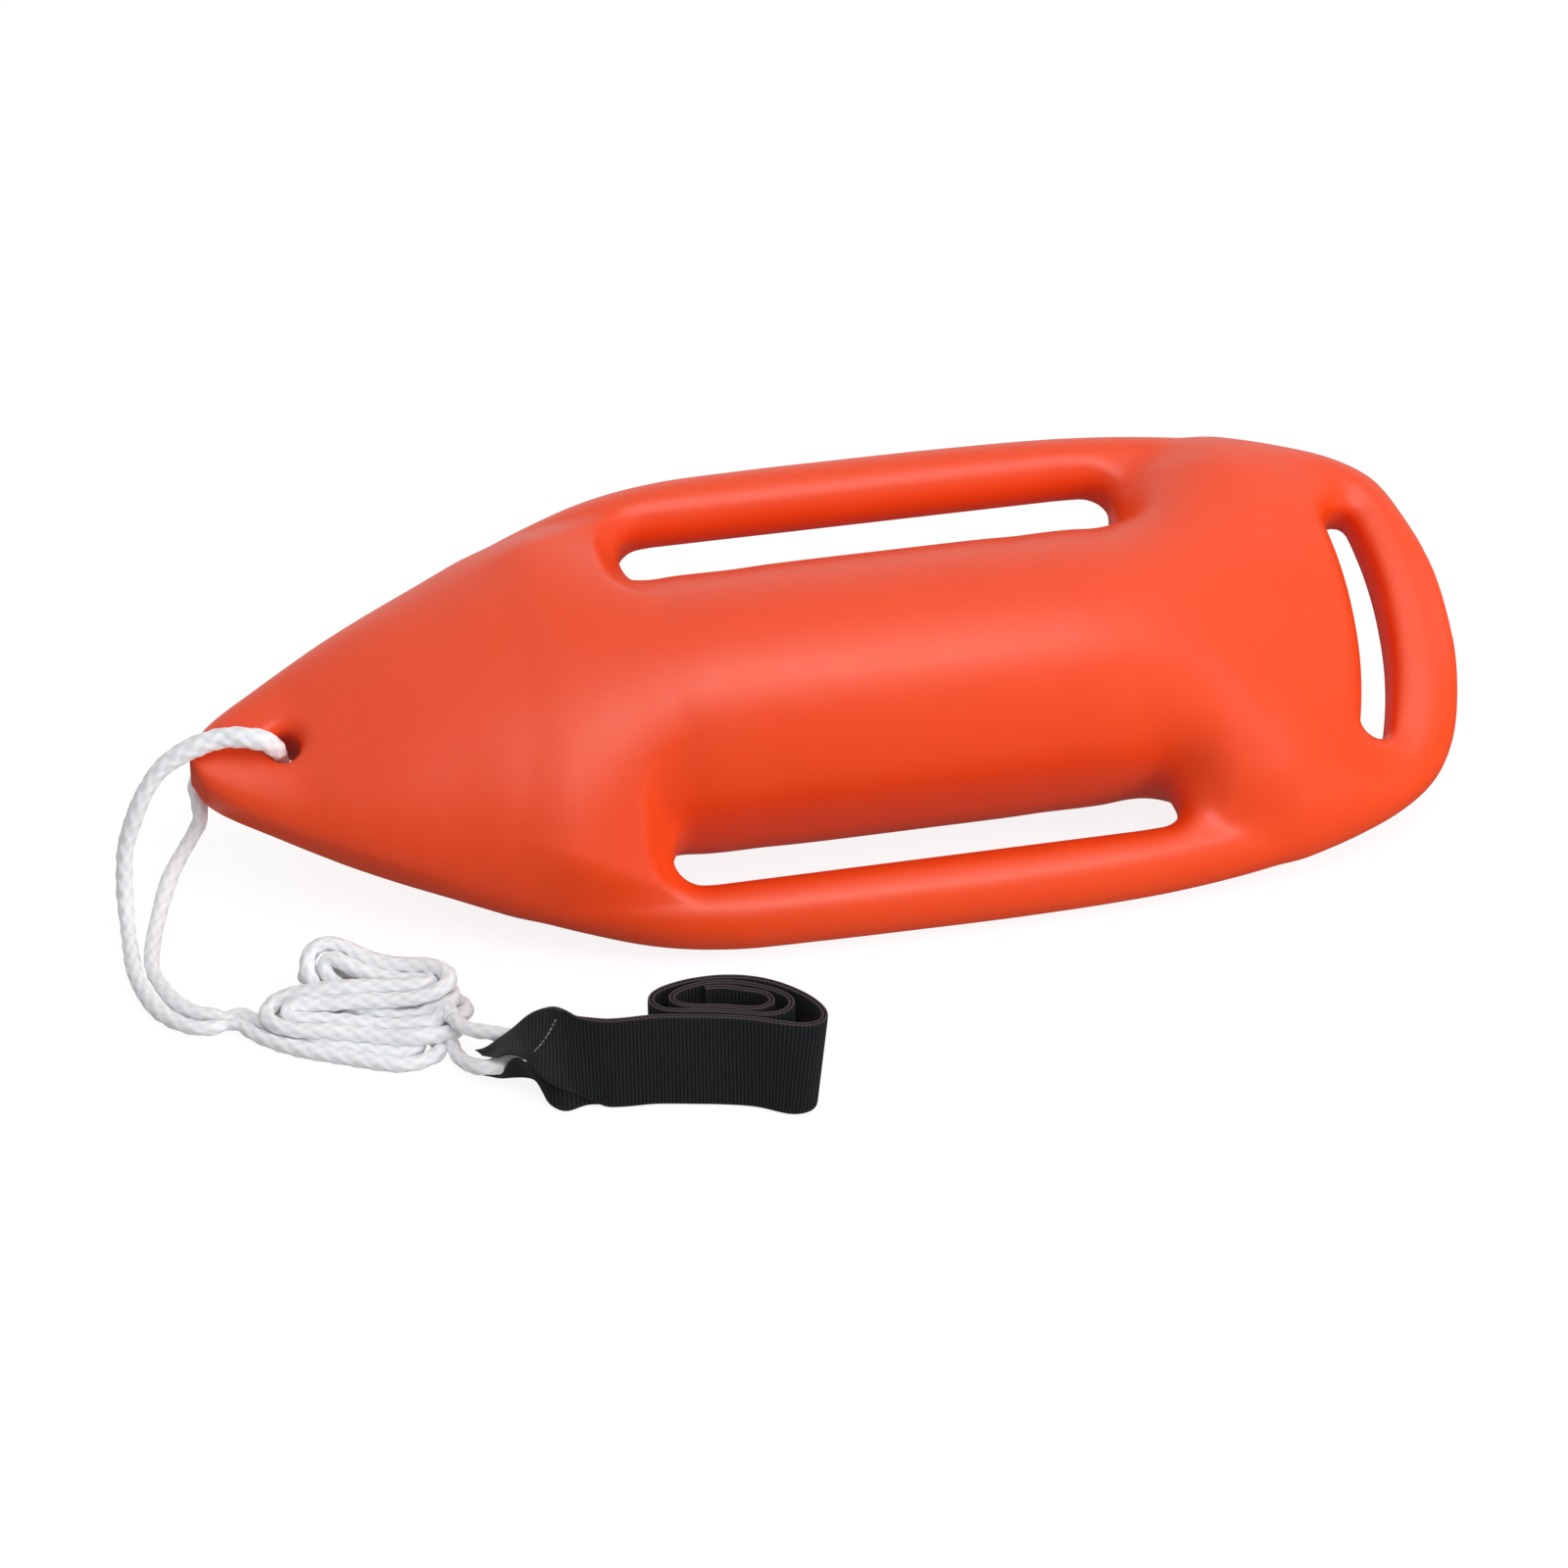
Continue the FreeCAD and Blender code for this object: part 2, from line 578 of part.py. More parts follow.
# ------------------------------------------------------------------ build and place the pieces
hull_shell = make_hull_shell()
vent_plug = make_vent_plug()
tow_loop = swept_rope("tow_loop", TOW_LOOP)
rope_bight = swept_rope("rope_bight", ROPE_BIGHT)
line_hank = make_hank()
belt_coil = make_belt_coil()
belt_eye = make_belt_eye()
belt_stitches = make_stitches()
doc.recompute()

no_turn = FreeCAD.Rotation()
hull_centre = V(size("move_x"), size("move_y"), size("axis_height"))
rolled = FreeCAD.Placement(hull_centre, FreeCAD.Rotation(V(1, 0, 0), size("roll_angle")))
level = FreeCAD.Placement(hull_centre, no_turn)
on_ground = FreeCAD.Placement(V(hull_centre.x, hull_centre.y, 0), no_turn)
PIECES = [
    (hull_shell, rolled),
    (vent_plug, rolled * FreeCAD.Placement(V(PLUG_X, 0, 0), no_turn)),
    (tow_loop, level),
    (line_hank, level),
    (rope_bight, level),
    (belt_eye, on_ground),
    (belt_stitches, on_ground),
    (belt_coil, on_ground),
]
for piece, placement in PIECES:
    piece.Placement = placement
doc.recompute()

# ------------------------------------------------------------------ check, then write
problems = []
for item in doc.Objects:
    if "Invalid" in item.State or "Error" in item.State:
        problems.append("%s is %s" % (item.Name, item.State))
for piece, _ in PIECES:
    shape = piece.Shape
    if shape.isNull() or not shape.isValid() or not shape.Solids:
        problems.append("%s has no valid shape" % piece.Label)
if problems:
    raise RuntimeError("; ".join(problems))

os.makedirs("parts", exist_ok=True)
for piece, _ in PIECES:
    piece.Shape.exportStep("parts/%s.step" % piece.Label)
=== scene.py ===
"""Rescue can with a towline and a shoulder belt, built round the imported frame.

The can lies along x, nose towards -x and tail towards +x, rolled about x as its joint says.
A loop of line runs through the nose hole to a folded hank on the ground on the -y side. The
hank's bight goes through the eye of the belt, which stands on edge in a roll towards +x.
Shapes are worked out in millimetres from the hull's centre; to_row takes them to the frame.
"""
import json
import math
from types import SimpleNamespace

import bpy
import numpy as np
from mathutils import Matrix, Vector


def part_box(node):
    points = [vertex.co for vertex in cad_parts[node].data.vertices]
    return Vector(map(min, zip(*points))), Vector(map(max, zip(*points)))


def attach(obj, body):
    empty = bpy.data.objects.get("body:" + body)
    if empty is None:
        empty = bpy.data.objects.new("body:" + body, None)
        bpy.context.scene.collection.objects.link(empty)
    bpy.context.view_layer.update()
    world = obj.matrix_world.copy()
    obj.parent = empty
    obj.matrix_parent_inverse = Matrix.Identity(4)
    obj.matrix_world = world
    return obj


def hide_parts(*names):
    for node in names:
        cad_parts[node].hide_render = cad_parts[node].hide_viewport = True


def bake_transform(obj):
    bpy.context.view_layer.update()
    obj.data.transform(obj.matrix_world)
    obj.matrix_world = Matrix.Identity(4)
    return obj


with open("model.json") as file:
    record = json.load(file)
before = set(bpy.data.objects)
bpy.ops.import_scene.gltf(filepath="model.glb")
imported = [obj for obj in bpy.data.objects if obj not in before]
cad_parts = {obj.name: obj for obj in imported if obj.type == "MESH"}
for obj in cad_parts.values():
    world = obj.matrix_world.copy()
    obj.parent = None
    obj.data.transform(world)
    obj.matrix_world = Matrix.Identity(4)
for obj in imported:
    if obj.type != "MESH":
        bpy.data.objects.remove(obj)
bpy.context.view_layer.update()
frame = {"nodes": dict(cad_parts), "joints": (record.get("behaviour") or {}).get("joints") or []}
scene = bpy.context.scene

# ---------------------------------------------------------------- places taken from the frame
hull_low, hull_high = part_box("hull_shell")
HULL_CENTRE = np.array([(low + high) / 2 * 1000.0 for low, high in zip(hull_low, hull_high)])
joints = {joint["name"]: joint for joint in frame["joints"]}
swing_axis = np.array(joints["towline_swing"]["axis"], float)
hull_roll = math.atan2(-swing_axis[1], swing_axis[2])
ROLL_COS, ROLL_SIN = math.cos(hull_roll), math.sin(hull_roll)
HULL_TURN = np.array([[1, 0, 0], [0, ROLL_COS, -ROLL_SIN], [0, ROLL_SIN, ROLL_COS]])
GROUND = -HULL_CENTRE[2]                    # ground height, from the hull's centre


def to_row(points):
    """Millimetres from the hull's centre to metres in the frame."""
    return (np.asarray(points, float) + HULL_CENTRE) / 1000.0


# ---------------------------------------------------------------- mesh helpers
def make_mesh(name, verts, faces, material, smooth=True):
    """verts in metres; faces is an array with one size of face, or a list of mixed sizes."""
    mesh = bpy.data.meshes.new(name)
    verts = np.asarray(verts, np.float32)
    if isinstance(faces, np.ndarray):
        count, sides = faces.shape
        mesh.vertices.add(len(verts))
        mesh.vertices.foreach_set("co", verts.ravel())
        mesh.loops.add(count * sides)
        mesh.loops.foreach_set("vertex_index", faces.astype(np.int32).ravel())
        mesh.polygons.add(count)
        starts = np.arange(0, count * sides, sides, dtype=np.int32)
        mesh.polygons.foreach_set("loop_start", starts)
        mesh.polygons.foreach_set("loop_total", np.full(count, sides, np.int32))
        mesh.update(calc_edges=True)
    else:
        mesh.from_pydata(verts.tolist(), [], faces)
    mesh.validate()
    mesh.polygons.foreach_set("use_smooth", np.full(len(mesh.polygons), smooth))
    mesh.update()
    piece = bpy.data.objects.new(name, mesh)
    scene.collection.objects.link(piece)
    mesh.materials.append(material)
    return piece


def hand_over(piece, link, cad_piece):
    """Tell the frame what the piece moves with, by parenting it to that body's empty, and hide
    the CAD piece it stands for.
    """
    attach(piece, link)
    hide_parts(cad_piece)


def set_normals(piece, grids):
    normals = np.vstack([grid.reshape(-1, 3) for grid in grids])
    piece.data.normals_split_custom_set_from_vertices([tuple(n) for n in normals.tolist()])


def float_attribute(piece, name, values):
    attribute = piece.data.attributes.new(name, "FLOAT", "POINT")
    attribute.data.foreach_set("value", np.asarray(values, np.float32))


def tube_quads(rows, around, base=0):
    """Quads between successive closed rings of vertices."""
    i = np.arange(rows - 1)[:, None] * around
    j = np.arange(around)[None, :]
    after = (j + 1) % around
    quads = np.stack([i + j, i + after, i + around + after, i + around + j], -1)
    return quads.reshape(-1, 4) + base


def capped_tube(rows, around, base):
    """Tube faces with one polygon over each end."""
    first = list(range(base, base + around))
    last = [index + (rows - 1) * around for index in first]
    return tube_quads(rows, around, base).tolist() + [first[::-1], last]


def grid_normals(rings, closed=False):
    """Normals of a whole tube, taken before it is cut so that the cuts don't show."""
    following, previous = np.roll(rings, -1, 0), np.roll(rings, 1, 0)
    if closed:
        following[-1], previous[0] = rings[1], rings[-2]
    else:
        following[-1], previous[0] = rings[-1], rings[0]
    normals = np.cross(np.roll(rings, -1, 1) - np.roll(rings, 1, 1), following - previous)
    normals /= np.maximum(np.linalg.norm(normals, axis=2, keepdims=True), 1e-12)
    outward = rings - rings.mean(1, keepdims=True)
    return normals if (normals * outward).sum() > 0 else -normals


# ---------------------------------------------------------------- curve helpers
def ramp(x, start, end):
    """Smooth step from 0 at start to 1 at end."""
    t = np.clip((x - start) / (end - start), 0, 1)
    return t * t * (3 - 2 * t)


def window(x, rise, fall, height=1.0):
    """Rises smoothly over one span and falls back to 0 over another."""
    return height * ramp(x, *rise) * (1 - ramp(x, *fall))


def hermite(stations, values, at):
    """Smooth curve through the stations that doesn't overshoot them."""
    stations, values = np.asarray(stations, float), np.asarray(values, float)
    at = np.clip(at, stations[0], stations[-1])
    width = np.diff(stations)
    rise = np.diff(values) / width
    slope = np.zeros(len(stations))
    slope[0], slope[-1] = rise[0], rise[-1]
    for i in range(1, len(stations) - 1):
        if rise[i - 1] * rise[i] > 0:
            before, after = 2 * width[i] + width[i - 1], width[i] + 2 * width[i - 1]
            slope[i] = (before + after) / (before / rise[i - 1] + after / rise[i])
    i = np.clip(np.searchsorted(stations, at, side="right") - 1, 0, len(width) - 1)
    u = (at - stations[i]) / width[i]
    return ((1 + 2 * u) * (1 - u) ** 2 * values[i] + u * (1 - u) ** 2 * width[i] * slope[i]
            + u * u * (3 - 2 * u) * values[i + 1] + u * u * (u - 1) * width[i] * slope[i + 1])


def run_length(points):
    """Distance along a polyline at each of its points."""
    return np.concatenate([[0], np.cumsum(np.linalg.norm(np.diff(points, axis=0), axis=1))])


def resample(rows, distance, wanted):
    """Every column of rows, interpolated at the wanted distances."""
    columns = range(rows.shape[1])
    return np.stack([np.interp(wanted, distance, rows[:, k]) for k in columns], 1)


def catmull(points, step):
    """Centripetal Catmull-Rom curve through the points, resampled every step."""
    points = np.asarray(points, float)
    chords = np.linalg.norm(np.diff(points, axis=0), axis=1)
    knots = np.concatenate([[0], np.cumsum(np.sqrt(chords))])
    slope = np.gradient(points, knots, axis=0)
    spans = []
    for i in range(len(points) - 1):
        width = knots[i + 1] - knots[i]
        u = np.linspace(0, 1, 24, endpoint=False)[:, None]
        spans.append((2 * u**3 - 3 * u**2 + 1) * points[i]
                     + (u**3 - 2 * u**2 + u) * width * slope[i]
                     + (-2 * u**3 + 3 * u**2) * points[i + 1]
                     + (u**3 - u**2) * width * slope[i + 1])
    curve = np.vstack(spans + [points[-1:]])
    distance = run_length(curve)
    count = max(2, int(round(distance[-1] / step)) + 1)
    return resample(curve, distance, np.linspace(0, distance[-1], count))


# ================================================================ HULL
# An implicit surface: a flat web with a full-round rim and round-lipped hand slots, joined to
# a domed body that narrows to a round belly between the side slots. In the hull's own axes x
# runs along it, y across and z square to the handles' plane.
LENGTH = 720.0
HALF_LENGTH = LENGTH / 2
# distance from the nose, half width
PLAN = [
    (0.0, 0.0), (4.5, 14.6), (12.0, 23.4), (22.0, 31.0), (36.0, 39.8), (60.0, 54.3),
    (100.0, 76.1), (150.0, 100.9), (200.0, 123.3), (240.0, 137.3), (280.0, 144.2),
    (330.0, 145.9), (380.0, 146.1), (450.0, 145.7), (520.0, 143.5), (570.0, 138.4),
    (610.0, 131.2), (645.0, 122.0), (672.0, 110.6), (692.0, 96.0), (705.0, 78.0),
    (714.0, 55.0), (718.6, 30.0), (720.0, 0.0)]
# distance from the nose, half height of the domed body
CREST = [
    (0, 17.5), (25, 19.0), (52, 22.5), (80, 31.0), (120, 43.5), (160, 54.0), (200, 63.0),
    (240, 70.5), (280, 76.6), (310, 78.6), (335, 79.4), (360, 79.6), (390, 79.6), (420, 79.6),
    (445, 79.6), (480, 78.8), (520, 75.3), (560, 67.4), (600, 56.0), (630, 43.5), (648, 34.0),
    (660, 27.0), (671, 21.5), (682, 18.8), (722, 18.4)]
# y, how far the tail's outline is pushed towards +x there
TAIL_PUSH = [
    (-160.0, 0.0), (-80.0, 0.0), (-45.0, -1.2), (0.0, -1.8), (30.0, -1.6), (55.0, -0.4),
    (78.0, 3.0), (96.0, 5.3), (160.0, 7.0)]
RIM_RADIUS = 19.0
BORE_X = 52.0 - HALF_LENGTH                 # hole through the nose
BORE_RADIUS = 8.9
# side slots: ends along x, edges as distances from the middle line, corner radius
SIDE_SLOT_X = (-106.5, 182.5)
SIDE_SLOT_EDGE = 60.0
SIDE_SLOT_DOME_EDGE = 77.0                  # the domed body reaches further out than the web
SIDE_SLOT_OUTER = 108.0
SIDE_SLOT_CORNER = 14.4
# tail slot: an arc bulging towards +x
TAIL_SLOT_RADIUS = 228.0
TAIL_SLOT_X = 673.2 - HALF_LENGTH
TAIL_SLOT_HALF_GAP = 10.7
TAIL_SLOT_HALF_ANGLES = (16.9, 15.9)        # degrees, on the -y and +y sides
TAIL_SLOT_SHEARS = (0.058, 0.082)           # x per y, on the -y and +y sides


def hull_outline():
    """One turn of the smooth plan outline."""
    ring = ([(x - HALF_LENGTH, width) for x, width in PLAN]
            + [(x - HALF_LENGTH, -width) for x, width in PLAN[-2:0:-1]])
    ring = np.array(ring + ring[:3])        # overlap, so that the joint is smooth
    curve = catmull(ring, 2.0)
    half = len(curve) // 2
    first = np.argmin(np.linalg.norm(curve[:60] - ring[1], axis=1))
    last = np.argmin(np.linalg.norm(curve[5:] - ring[1], axis=1)[half:]) + 5 + half
    return curve[first:last]


outline = hull_outline()
EDGE_START = outline.astype(np.float32)
EDGE_VECTOR = np.roll(outline, -1, axis=0).astype(np.float32) - EDGE_START


def outline_distance(x, y):
    """Signed distance to the outline, negative inside."""
    shape = x.shape
    x, y = x.ravel().astype(np.float32), np.abs(y).ravel().astype(np.float32)
    best = np.full(len(x), 1e12, np.float32)
    inside = np.zeros(len(x), bool)
    edge_x, edge_y = EDGE_VECTOR[:, 0], EDGE_VECTOR[:, 1]
    square = edge_x * edge_x + edge_y * edge_y
    end_y = np.roll(EDGE_START[:, 1], -1)
    for i, (start_x, start_y) in enumerate(EDGE_START):
        # y is never negative here, so edges well below 0 are never the nearest
        if start_y >= -4 or end_y[i] >= -4:
            off_x, off_y = x - start_x, y - start_y
            t = np.clip((off_x * edge_x[i] + off_y * edge_y[i]) / square[i], 0, 1)
            best = np.minimum(best, (off_x - edge_x[i] * t) ** 2 + (off_y - edge_y[i] * t) ** 2)
        if abs(edge_y[i]) > 1e-9:
            spans = (start_y > y) != (end_y[i] > y)
            inside ^= spans & (x < start_x + (y - start_y) * edge_x[i] / edge_y[i])
    distance = np.sqrt(best)
    return np.where(inside, -distance, distance).reshape(shape)


def rounded(across, up, radius):
    """Signed distance to a corner of the given radius, from the two offsets to its centre."""
    return (np.sqrt(np.maximum(across, 0) ** 2 + np.maximum(up, 0) ** 2)
            + np.minimum(np.maximum(across, up), 0) - radius)


def side_slot(x, y, inner):
    """Signed distance to the rounded side slots."""
    start, end = SIDE_SLOT_X
    outer, corner = SIDE_SLOT_OUTER, SIDE_SLOT_CORNER
    off_x = np.abs(x - (start + end) / 2) - (end - start) / 2 + corner
    off_y = np.abs(np.abs(y) - (inner + outer) / 2) - (outer - inner) / 2 + corner
    return rounded(off_x, off_y, corner)


def tail_slot(x, y):
    """Signed distance to the curved tail slot with round ends."""
    half_angle = np.radians(np.where(y < 0, *TAIL_SLOT_HALF_ANGLES))
    x = x - np.where(y < 0, *TAIL_SLOT_SHEARS) * y
    off_x, off_y = x - (TAIL_SLOT_X - TAIL_SLOT_RADIUS), np.abs(y)
    radius = np.sqrt(off_x * off_x + off_y * off_y)
    end_x, end_y = TAIL_SLOT_RADIUS * np.cos(half_angle), TAIL_SLOT_RADIUS * np.sin(half_angle)
    to_end = np.sqrt((off_x - end_x) ** 2 + (off_y - end_y) ** 2)
    beside = np.arctan2(off_y, off_x) < half_angle
    return np.where(beside, np.abs(radius - TAIL_SLOT_RADIUS), to_end) - TAIL_SLOT_HALF_GAP


def ahead_of_tail_slot(x, y):
    """Positive on the belly side of the tail slot's middle line."""
    return TAIL_SLOT_RADIUS - np.sqrt((x - TAIL_SLOT_X + TAIL_SLOT_RADIUS) ** 2 + y * y)


def smooth_min(a, b, blend):
    overlap = np.maximum(blend - np.abs(a - b), 0) / blend
    return np.minimum(a, b) - overlap * overlap * blend * 0.25


def smooth_max(a, b, blend):
    return -smooth_min(-a, -b, blend)


def plan_fields(x, y):
    """Everything that depends on the place in plan only. Spans of n are from the nose."""
    n = x + HALF_LENGTH
    # the tail isn't quite symmetrical, and the -y flank is a little wider
    push = hermite(*np.array(TAIL_PUSH).T, y) * ramp(n, 560, 690)
    flank_y = np.where(y < 0, y * (1 - 0.009 * ramp(n, 300, 480)), y)
    width = hermite(*np.array(PLAN).T, n)
    crest = hermite(*np.array(CREST, float).T, n)
    # the domed body has the whole plan width at its ends, the round belly's between the slots
    narrow = window(n, (158, 272), (516, 612))
    belly = crest + 3.0 * (1 - ramp(n, 268, 318)) + 3.6 * ramp(n, 470, 520)
    waist = window(n, (530, 592), (640, 695), height=6.5)
    return SimpleNamespace(
        n=n,
        outline=outline_distance(x - push, flank_y),
        side=side_slot(x, y, SIDE_SLOT_EDGE),
        side_dome=side_slot(x, y, SIDE_SLOT_DOME_EDGE),
        tail=tail_slot(x, y),
        crest=crest,
        dome_width=np.maximum(width + (belly - width) * narrow - waist, 4.0),
        # roundness of the dome's section: 2 is an ellipse, more is squarer
        power=2.0 + 0.8 * (1 - ramp(n, 50, 150)) + 1.0 * ramp(n, 590, 668),
        rim=RIM_RADIUS - 0.9 * ramp(n, 600, 690),
        thin=8.0 * (1 - ramp(n, 60, 150)),          # the web thins out under the nose
        # lip radii: small at the side slot's nose end and along the tail slot's belly side
        side_lip=(8.5 + 10.5 * ramp(x + 0.6 * (np.abs(y) - 90), -110, -70)
                  - 3.5 * ramp(x, 150, 190)),
        tail_lip=18.0 - 6.0 * ramp(ahead_of_tail_slot(x, y), -6, 8))


def hull_field(x, y, z, plan):
    """Signed distance, roughly, to the hull's surface."""
    n, rim, side_lip, power = plan.n, plan.rim, plan.side_lip, plan.power
    height = np.abs(z)
    web = rounded(plan.outline + rim, height, rim) + plan.thin
    tail_lip = np.minimum(plan.tail_lip, rim)
    side_edge = rounded(-plan.side + side_lip, height - (RIM_RADIUS - side_lip), side_lip)
    web = np.maximum(web, side_edge)
    web = np.maximum(web, rounded(-plan.tail + tail_lip, height - (rim - tail_lip), tail_lip))
    # superellipse section, set slightly towards -y along the belly
    offset = window(n, (200, 300), (520, 620), height=2.6)
    u = np.abs(y + offset) / plan.dome_width + 1e-6
    v = height / plan.crest + 1e-6
    level = (u ** power + v ** power) ** (1 / power)
    slope_y = (u / level) ** (power - 1) / plan.dome_width
    slope_z = (v / level) ** (power - 1) / plan.crest
    dome = (level - 1) / np.sqrt(slope_y * slope_y + slope_z * slope_z + 1e-8)
    dome = smooth_max(dome, -plan.side_dome, 9.0 + 15.0 * ramp(x, 148, 200))
    dome = smooth_max(dome, -plan.tail, 11.5)
    dome = smooth_max(dome, plan.outline, 3.0)
    # fillet between web and dome, much larger where the shoulders flow into the handles
    fillet = 3.0 + window(n, (150, 262), (590, 690), height=14.0)
    fillet = fillet + (window(n, (140, 205), (250, 300), height=46.0)
                       * ramp(-plan.outline, 0, 26) * ramp(plan.side, 0, 18))
    fillet = fillet + (window(n, (505, 575), (590, 690), height=24.0)
                       * ramp(-plan.outline, 0, 40) * ramp(plan.side, 0, 26))
    body = smooth_min(web, dome, fillet)
    bore = np.sqrt((x - BORE_X) ** 2 + y * y) - BORE_RADIUS
    return smooth_max(body, -bore, 9.0)


def surface_net(field, low, step):
    """Naive surface nets: quads on the zero level of a sampled field."""
    cells_x, cells_y, cells_z = (size - 1 for size in field.shape)
    inside = field < 0
    corners = [(i, j, k) for i in (0, 1) for j in (0, 1) for k in (0, 1)]
    corners_in = np.zeros((cells_x, cells_y, cells_z), np.uint8)
    for i, j, k in corners:
        corners_in += inside[i:cells_x + i, j:cells_y + j, k:cells_z + k]
    active = (corners_in > 0) & (corners_in < 8)
    index = np.full(active.shape, -1, np.int64)
    cells = np.argwhere(active)
    index[active] = np.arange(len(cells))

    # each cell's vertex is the mean of the crossings on its edges
    total = np.zeros((len(cells), 3))
    count = np.zeros(len(cells))
    for a in corners:
        for b in corners:
            if sum(b) == sum(a) + 1 and sum(abs(p - q) for p, q in zip(a, b)) == 1:
                at_a, at_b = (field[tuple((cells + corner).T)] for corner in (a, b))
                crossed = (at_a < 0) != (at_b < 0)
                t = np.where(crossed, at_a / np.where(crossed, at_a - at_b, 1), 0)
                place = np.array(a)[None] + t[:, None] * (np.array(b) - np.array(a))[None]
                total += place * crossed[:, None]
                count += crossed
    verts = low + (cells + total / count[:, None]) * step

    # a quad round every grid edge that crosses the surface
    quads = []
    for axis in range(3):
        side_1, side_2 = [(1, 2), (2, 0), (0, 1)][axis]
        size = inside.shape[axis]
        lower = inside.take(range(size - 1), axis=axis)
        upper = inside.take(range(1, size), axis=axis)
        for outward, crossed in ((True, lower & ~upper), (False, ~lower & upper)):
            edges = np.argwhere(crossed)
            keep = (edges[:, side_1] > 0) & (edges[:, side_2] > 0)
            keep &= edges[:, side_1] < active.shape[side_1]
            keep &= edges[:, side_2] < active.shape[side_2]
            edges = edges[keep]
            quad = []
            for back_1, back_2 in ((0, 0), (1, 0), (1, 1), (0, 1)):
                cell = edges.copy()
                cell[:, side_1] -= back_1
                cell[:, side_2] -= back_2
                quad.append(index[cell[:, 0], cell[:, 1], cell[:, 2]])
            quad = np.stack(quad, 1)
            quads.append(quad if outward else quad[:, ::-1])
    return verts, np.vstack(quads)


def hull_surface():
    """Sample the field, mesh it and pull the vertices on to the zero level."""
    step = 2.6
    grid_x = np.arange(-HALF_LENGTH - 6.3, HALF_LENGTH + 8, step)
    grid_y = np.arange(-150.7, 151.7, step)
    grid_z = np.arange(-84.9, 86, step)
    x, y = np.meshgrid(grid_x, grid_y, indexing="ij")
    columns = {name: value[:, :, None] for name, value in vars(plan_fields(x, y)).items()}
    field = hull_field(x[:, :, None], y[:, :, None], grid_z[None, None, :],
                       SimpleNamespace(**columns))
    verts, quads = surface_net(field, np.array([grid_x[0], grid_y[0], grid_z[0]]), step)

    reach = 0.25                            # half span of the central differences

    def field_at(x, y, z):
        return hull_field(x, y, z, plan_fields(x, y))

    for _ in range(3):
        x, y, z = verts.T
        plan = plan_fields(x, y)
        value = hull_field(x, y, z, plan)
        slope = np.stack([
            field_at(x + reach, y, z) - field_at(x - reach, y, z),
            field_at(x, y + reach, z) - field_at(x, y - reach, z),
            hull_field(x, y, z + reach, plan) - hull_field(x, y, z - reach, plan),
        ], 1) / (2 * reach)
        steepness = np.maximum((slope * slope).sum(1), 0.05)
        move = -(value / steepness)[:, None] * slope
        size = np.linalg.norm(move, axis=1, keepdims=True)
        move *= np.minimum(1, step * 0.5 / np.maximum(size, 1e-9))
        verts = verts + move
    return verts, quads


def build_hull():
    verts, quads = hull_surface()
    hull = make_mesh("hull_body", to_row(verts @ HULL_TURN.T), quads, ORANGE)
    # where the ribbed grain shows: along the belly, fading out towards the sides
    near_middle = np.clip(1.15 - np.abs(verts[:, 1]) / 62.0, 0, 1)
    band = window(verts[:, 0], (-250, -190), (262, 300), height=near_middle)
    float_attribute(hull, "band", band)
    hand_over(hull, "hull", "hull_shell")


def build_vent_plug():
    """Screw plug under the belly: round head with a coin slot, on the CAD piece's own axis."""
    cad = np.array([v.co for v in frame["nodes"]["vent_plug"].data.vertices]) * 1000.0
    local = (cad - HULL_CENTRE) @ HULL_TURN
    low, high = local.min(0), local.max(0)
    centre = (low + high) / 2
    radius = (high[0] - low[0]) / 2 - 0.1
    depth = high[2] - low[2]
    shank = radius * 0.6
    slot_depth = 1.5
    around = 72

    # profile as (radius, height above the outer face), slightly domed face first
    face = [(r, -0.07 * (1 - (r / radius) ** 2)) for r in np.linspace(0, radius - 1.0, 26)[1:]]
    profile = face + [(radius - 1.0 + math.sin(a), 1 - math.cos(a))
                      for a in np.linspace(0.2, math.pi / 2, 6)]
    profile += [(radius - 0.5 + 0.5 * math.cos(a), 2.3 + 0.5 * math.sin(a))
                for a in np.linspace(0.3, math.pi / 2, 4)]
    profile += [(shank + 0.5, 2.8), (shank, 3.2)]
    # shallow thread: six ridges along the shank
    profile += [(shank - 0.25 + 0.25 * math.cos(t * 2 * math.pi * 6), 3.2 + t * (depth - 4.4))
                for t in np.linspace(0, 1, 40)]
    profile += [(shank - 0.8, depth - 0.4), (0.6, depth)]

    angle = np.linspace(0, 2 * np.pi, around, endpoint=False)
    verts = [(centre[0], centre[1], low[2] + slot_depth)]
    for row, (r, height) in enumerate(profile):
        x, y = r * np.cos(angle), r * np.sin(angle)
        z = np.full(around, height)
        if row < len(face) - 1:             # the slot stops short of the face's edge
            slot = 1 - ramp(np.abs(y), 0.9, 1.3)
            slot = slot * (1 - ramp(np.abs(x), radius * 0.62, radius * 0.62 + 0.5))
            z = z + slot_depth * slot
        verts += list(zip(centre[0] + x, centre[1] + y, low[2] + z))
    verts.append((centre[0], centre[1], high[2]))

    last = 1 + (len(profile) - 1) * around
    faces = [(0, 1 + (k + 1) % around, 1 + k) for k in range(around)]
    faces += tube_quads(len(profile), around, base=1).tolist()
    faces += [(last + k, last + (k + 1) % around, len(verts) - 1) for k in range(around)]
    plug = make_mesh("vent_plug_screw", to_row(np.array(verts) @ HULL_TURN.T), faces, PLUG)
    hand_over(plug, "hull", "vent_plug")


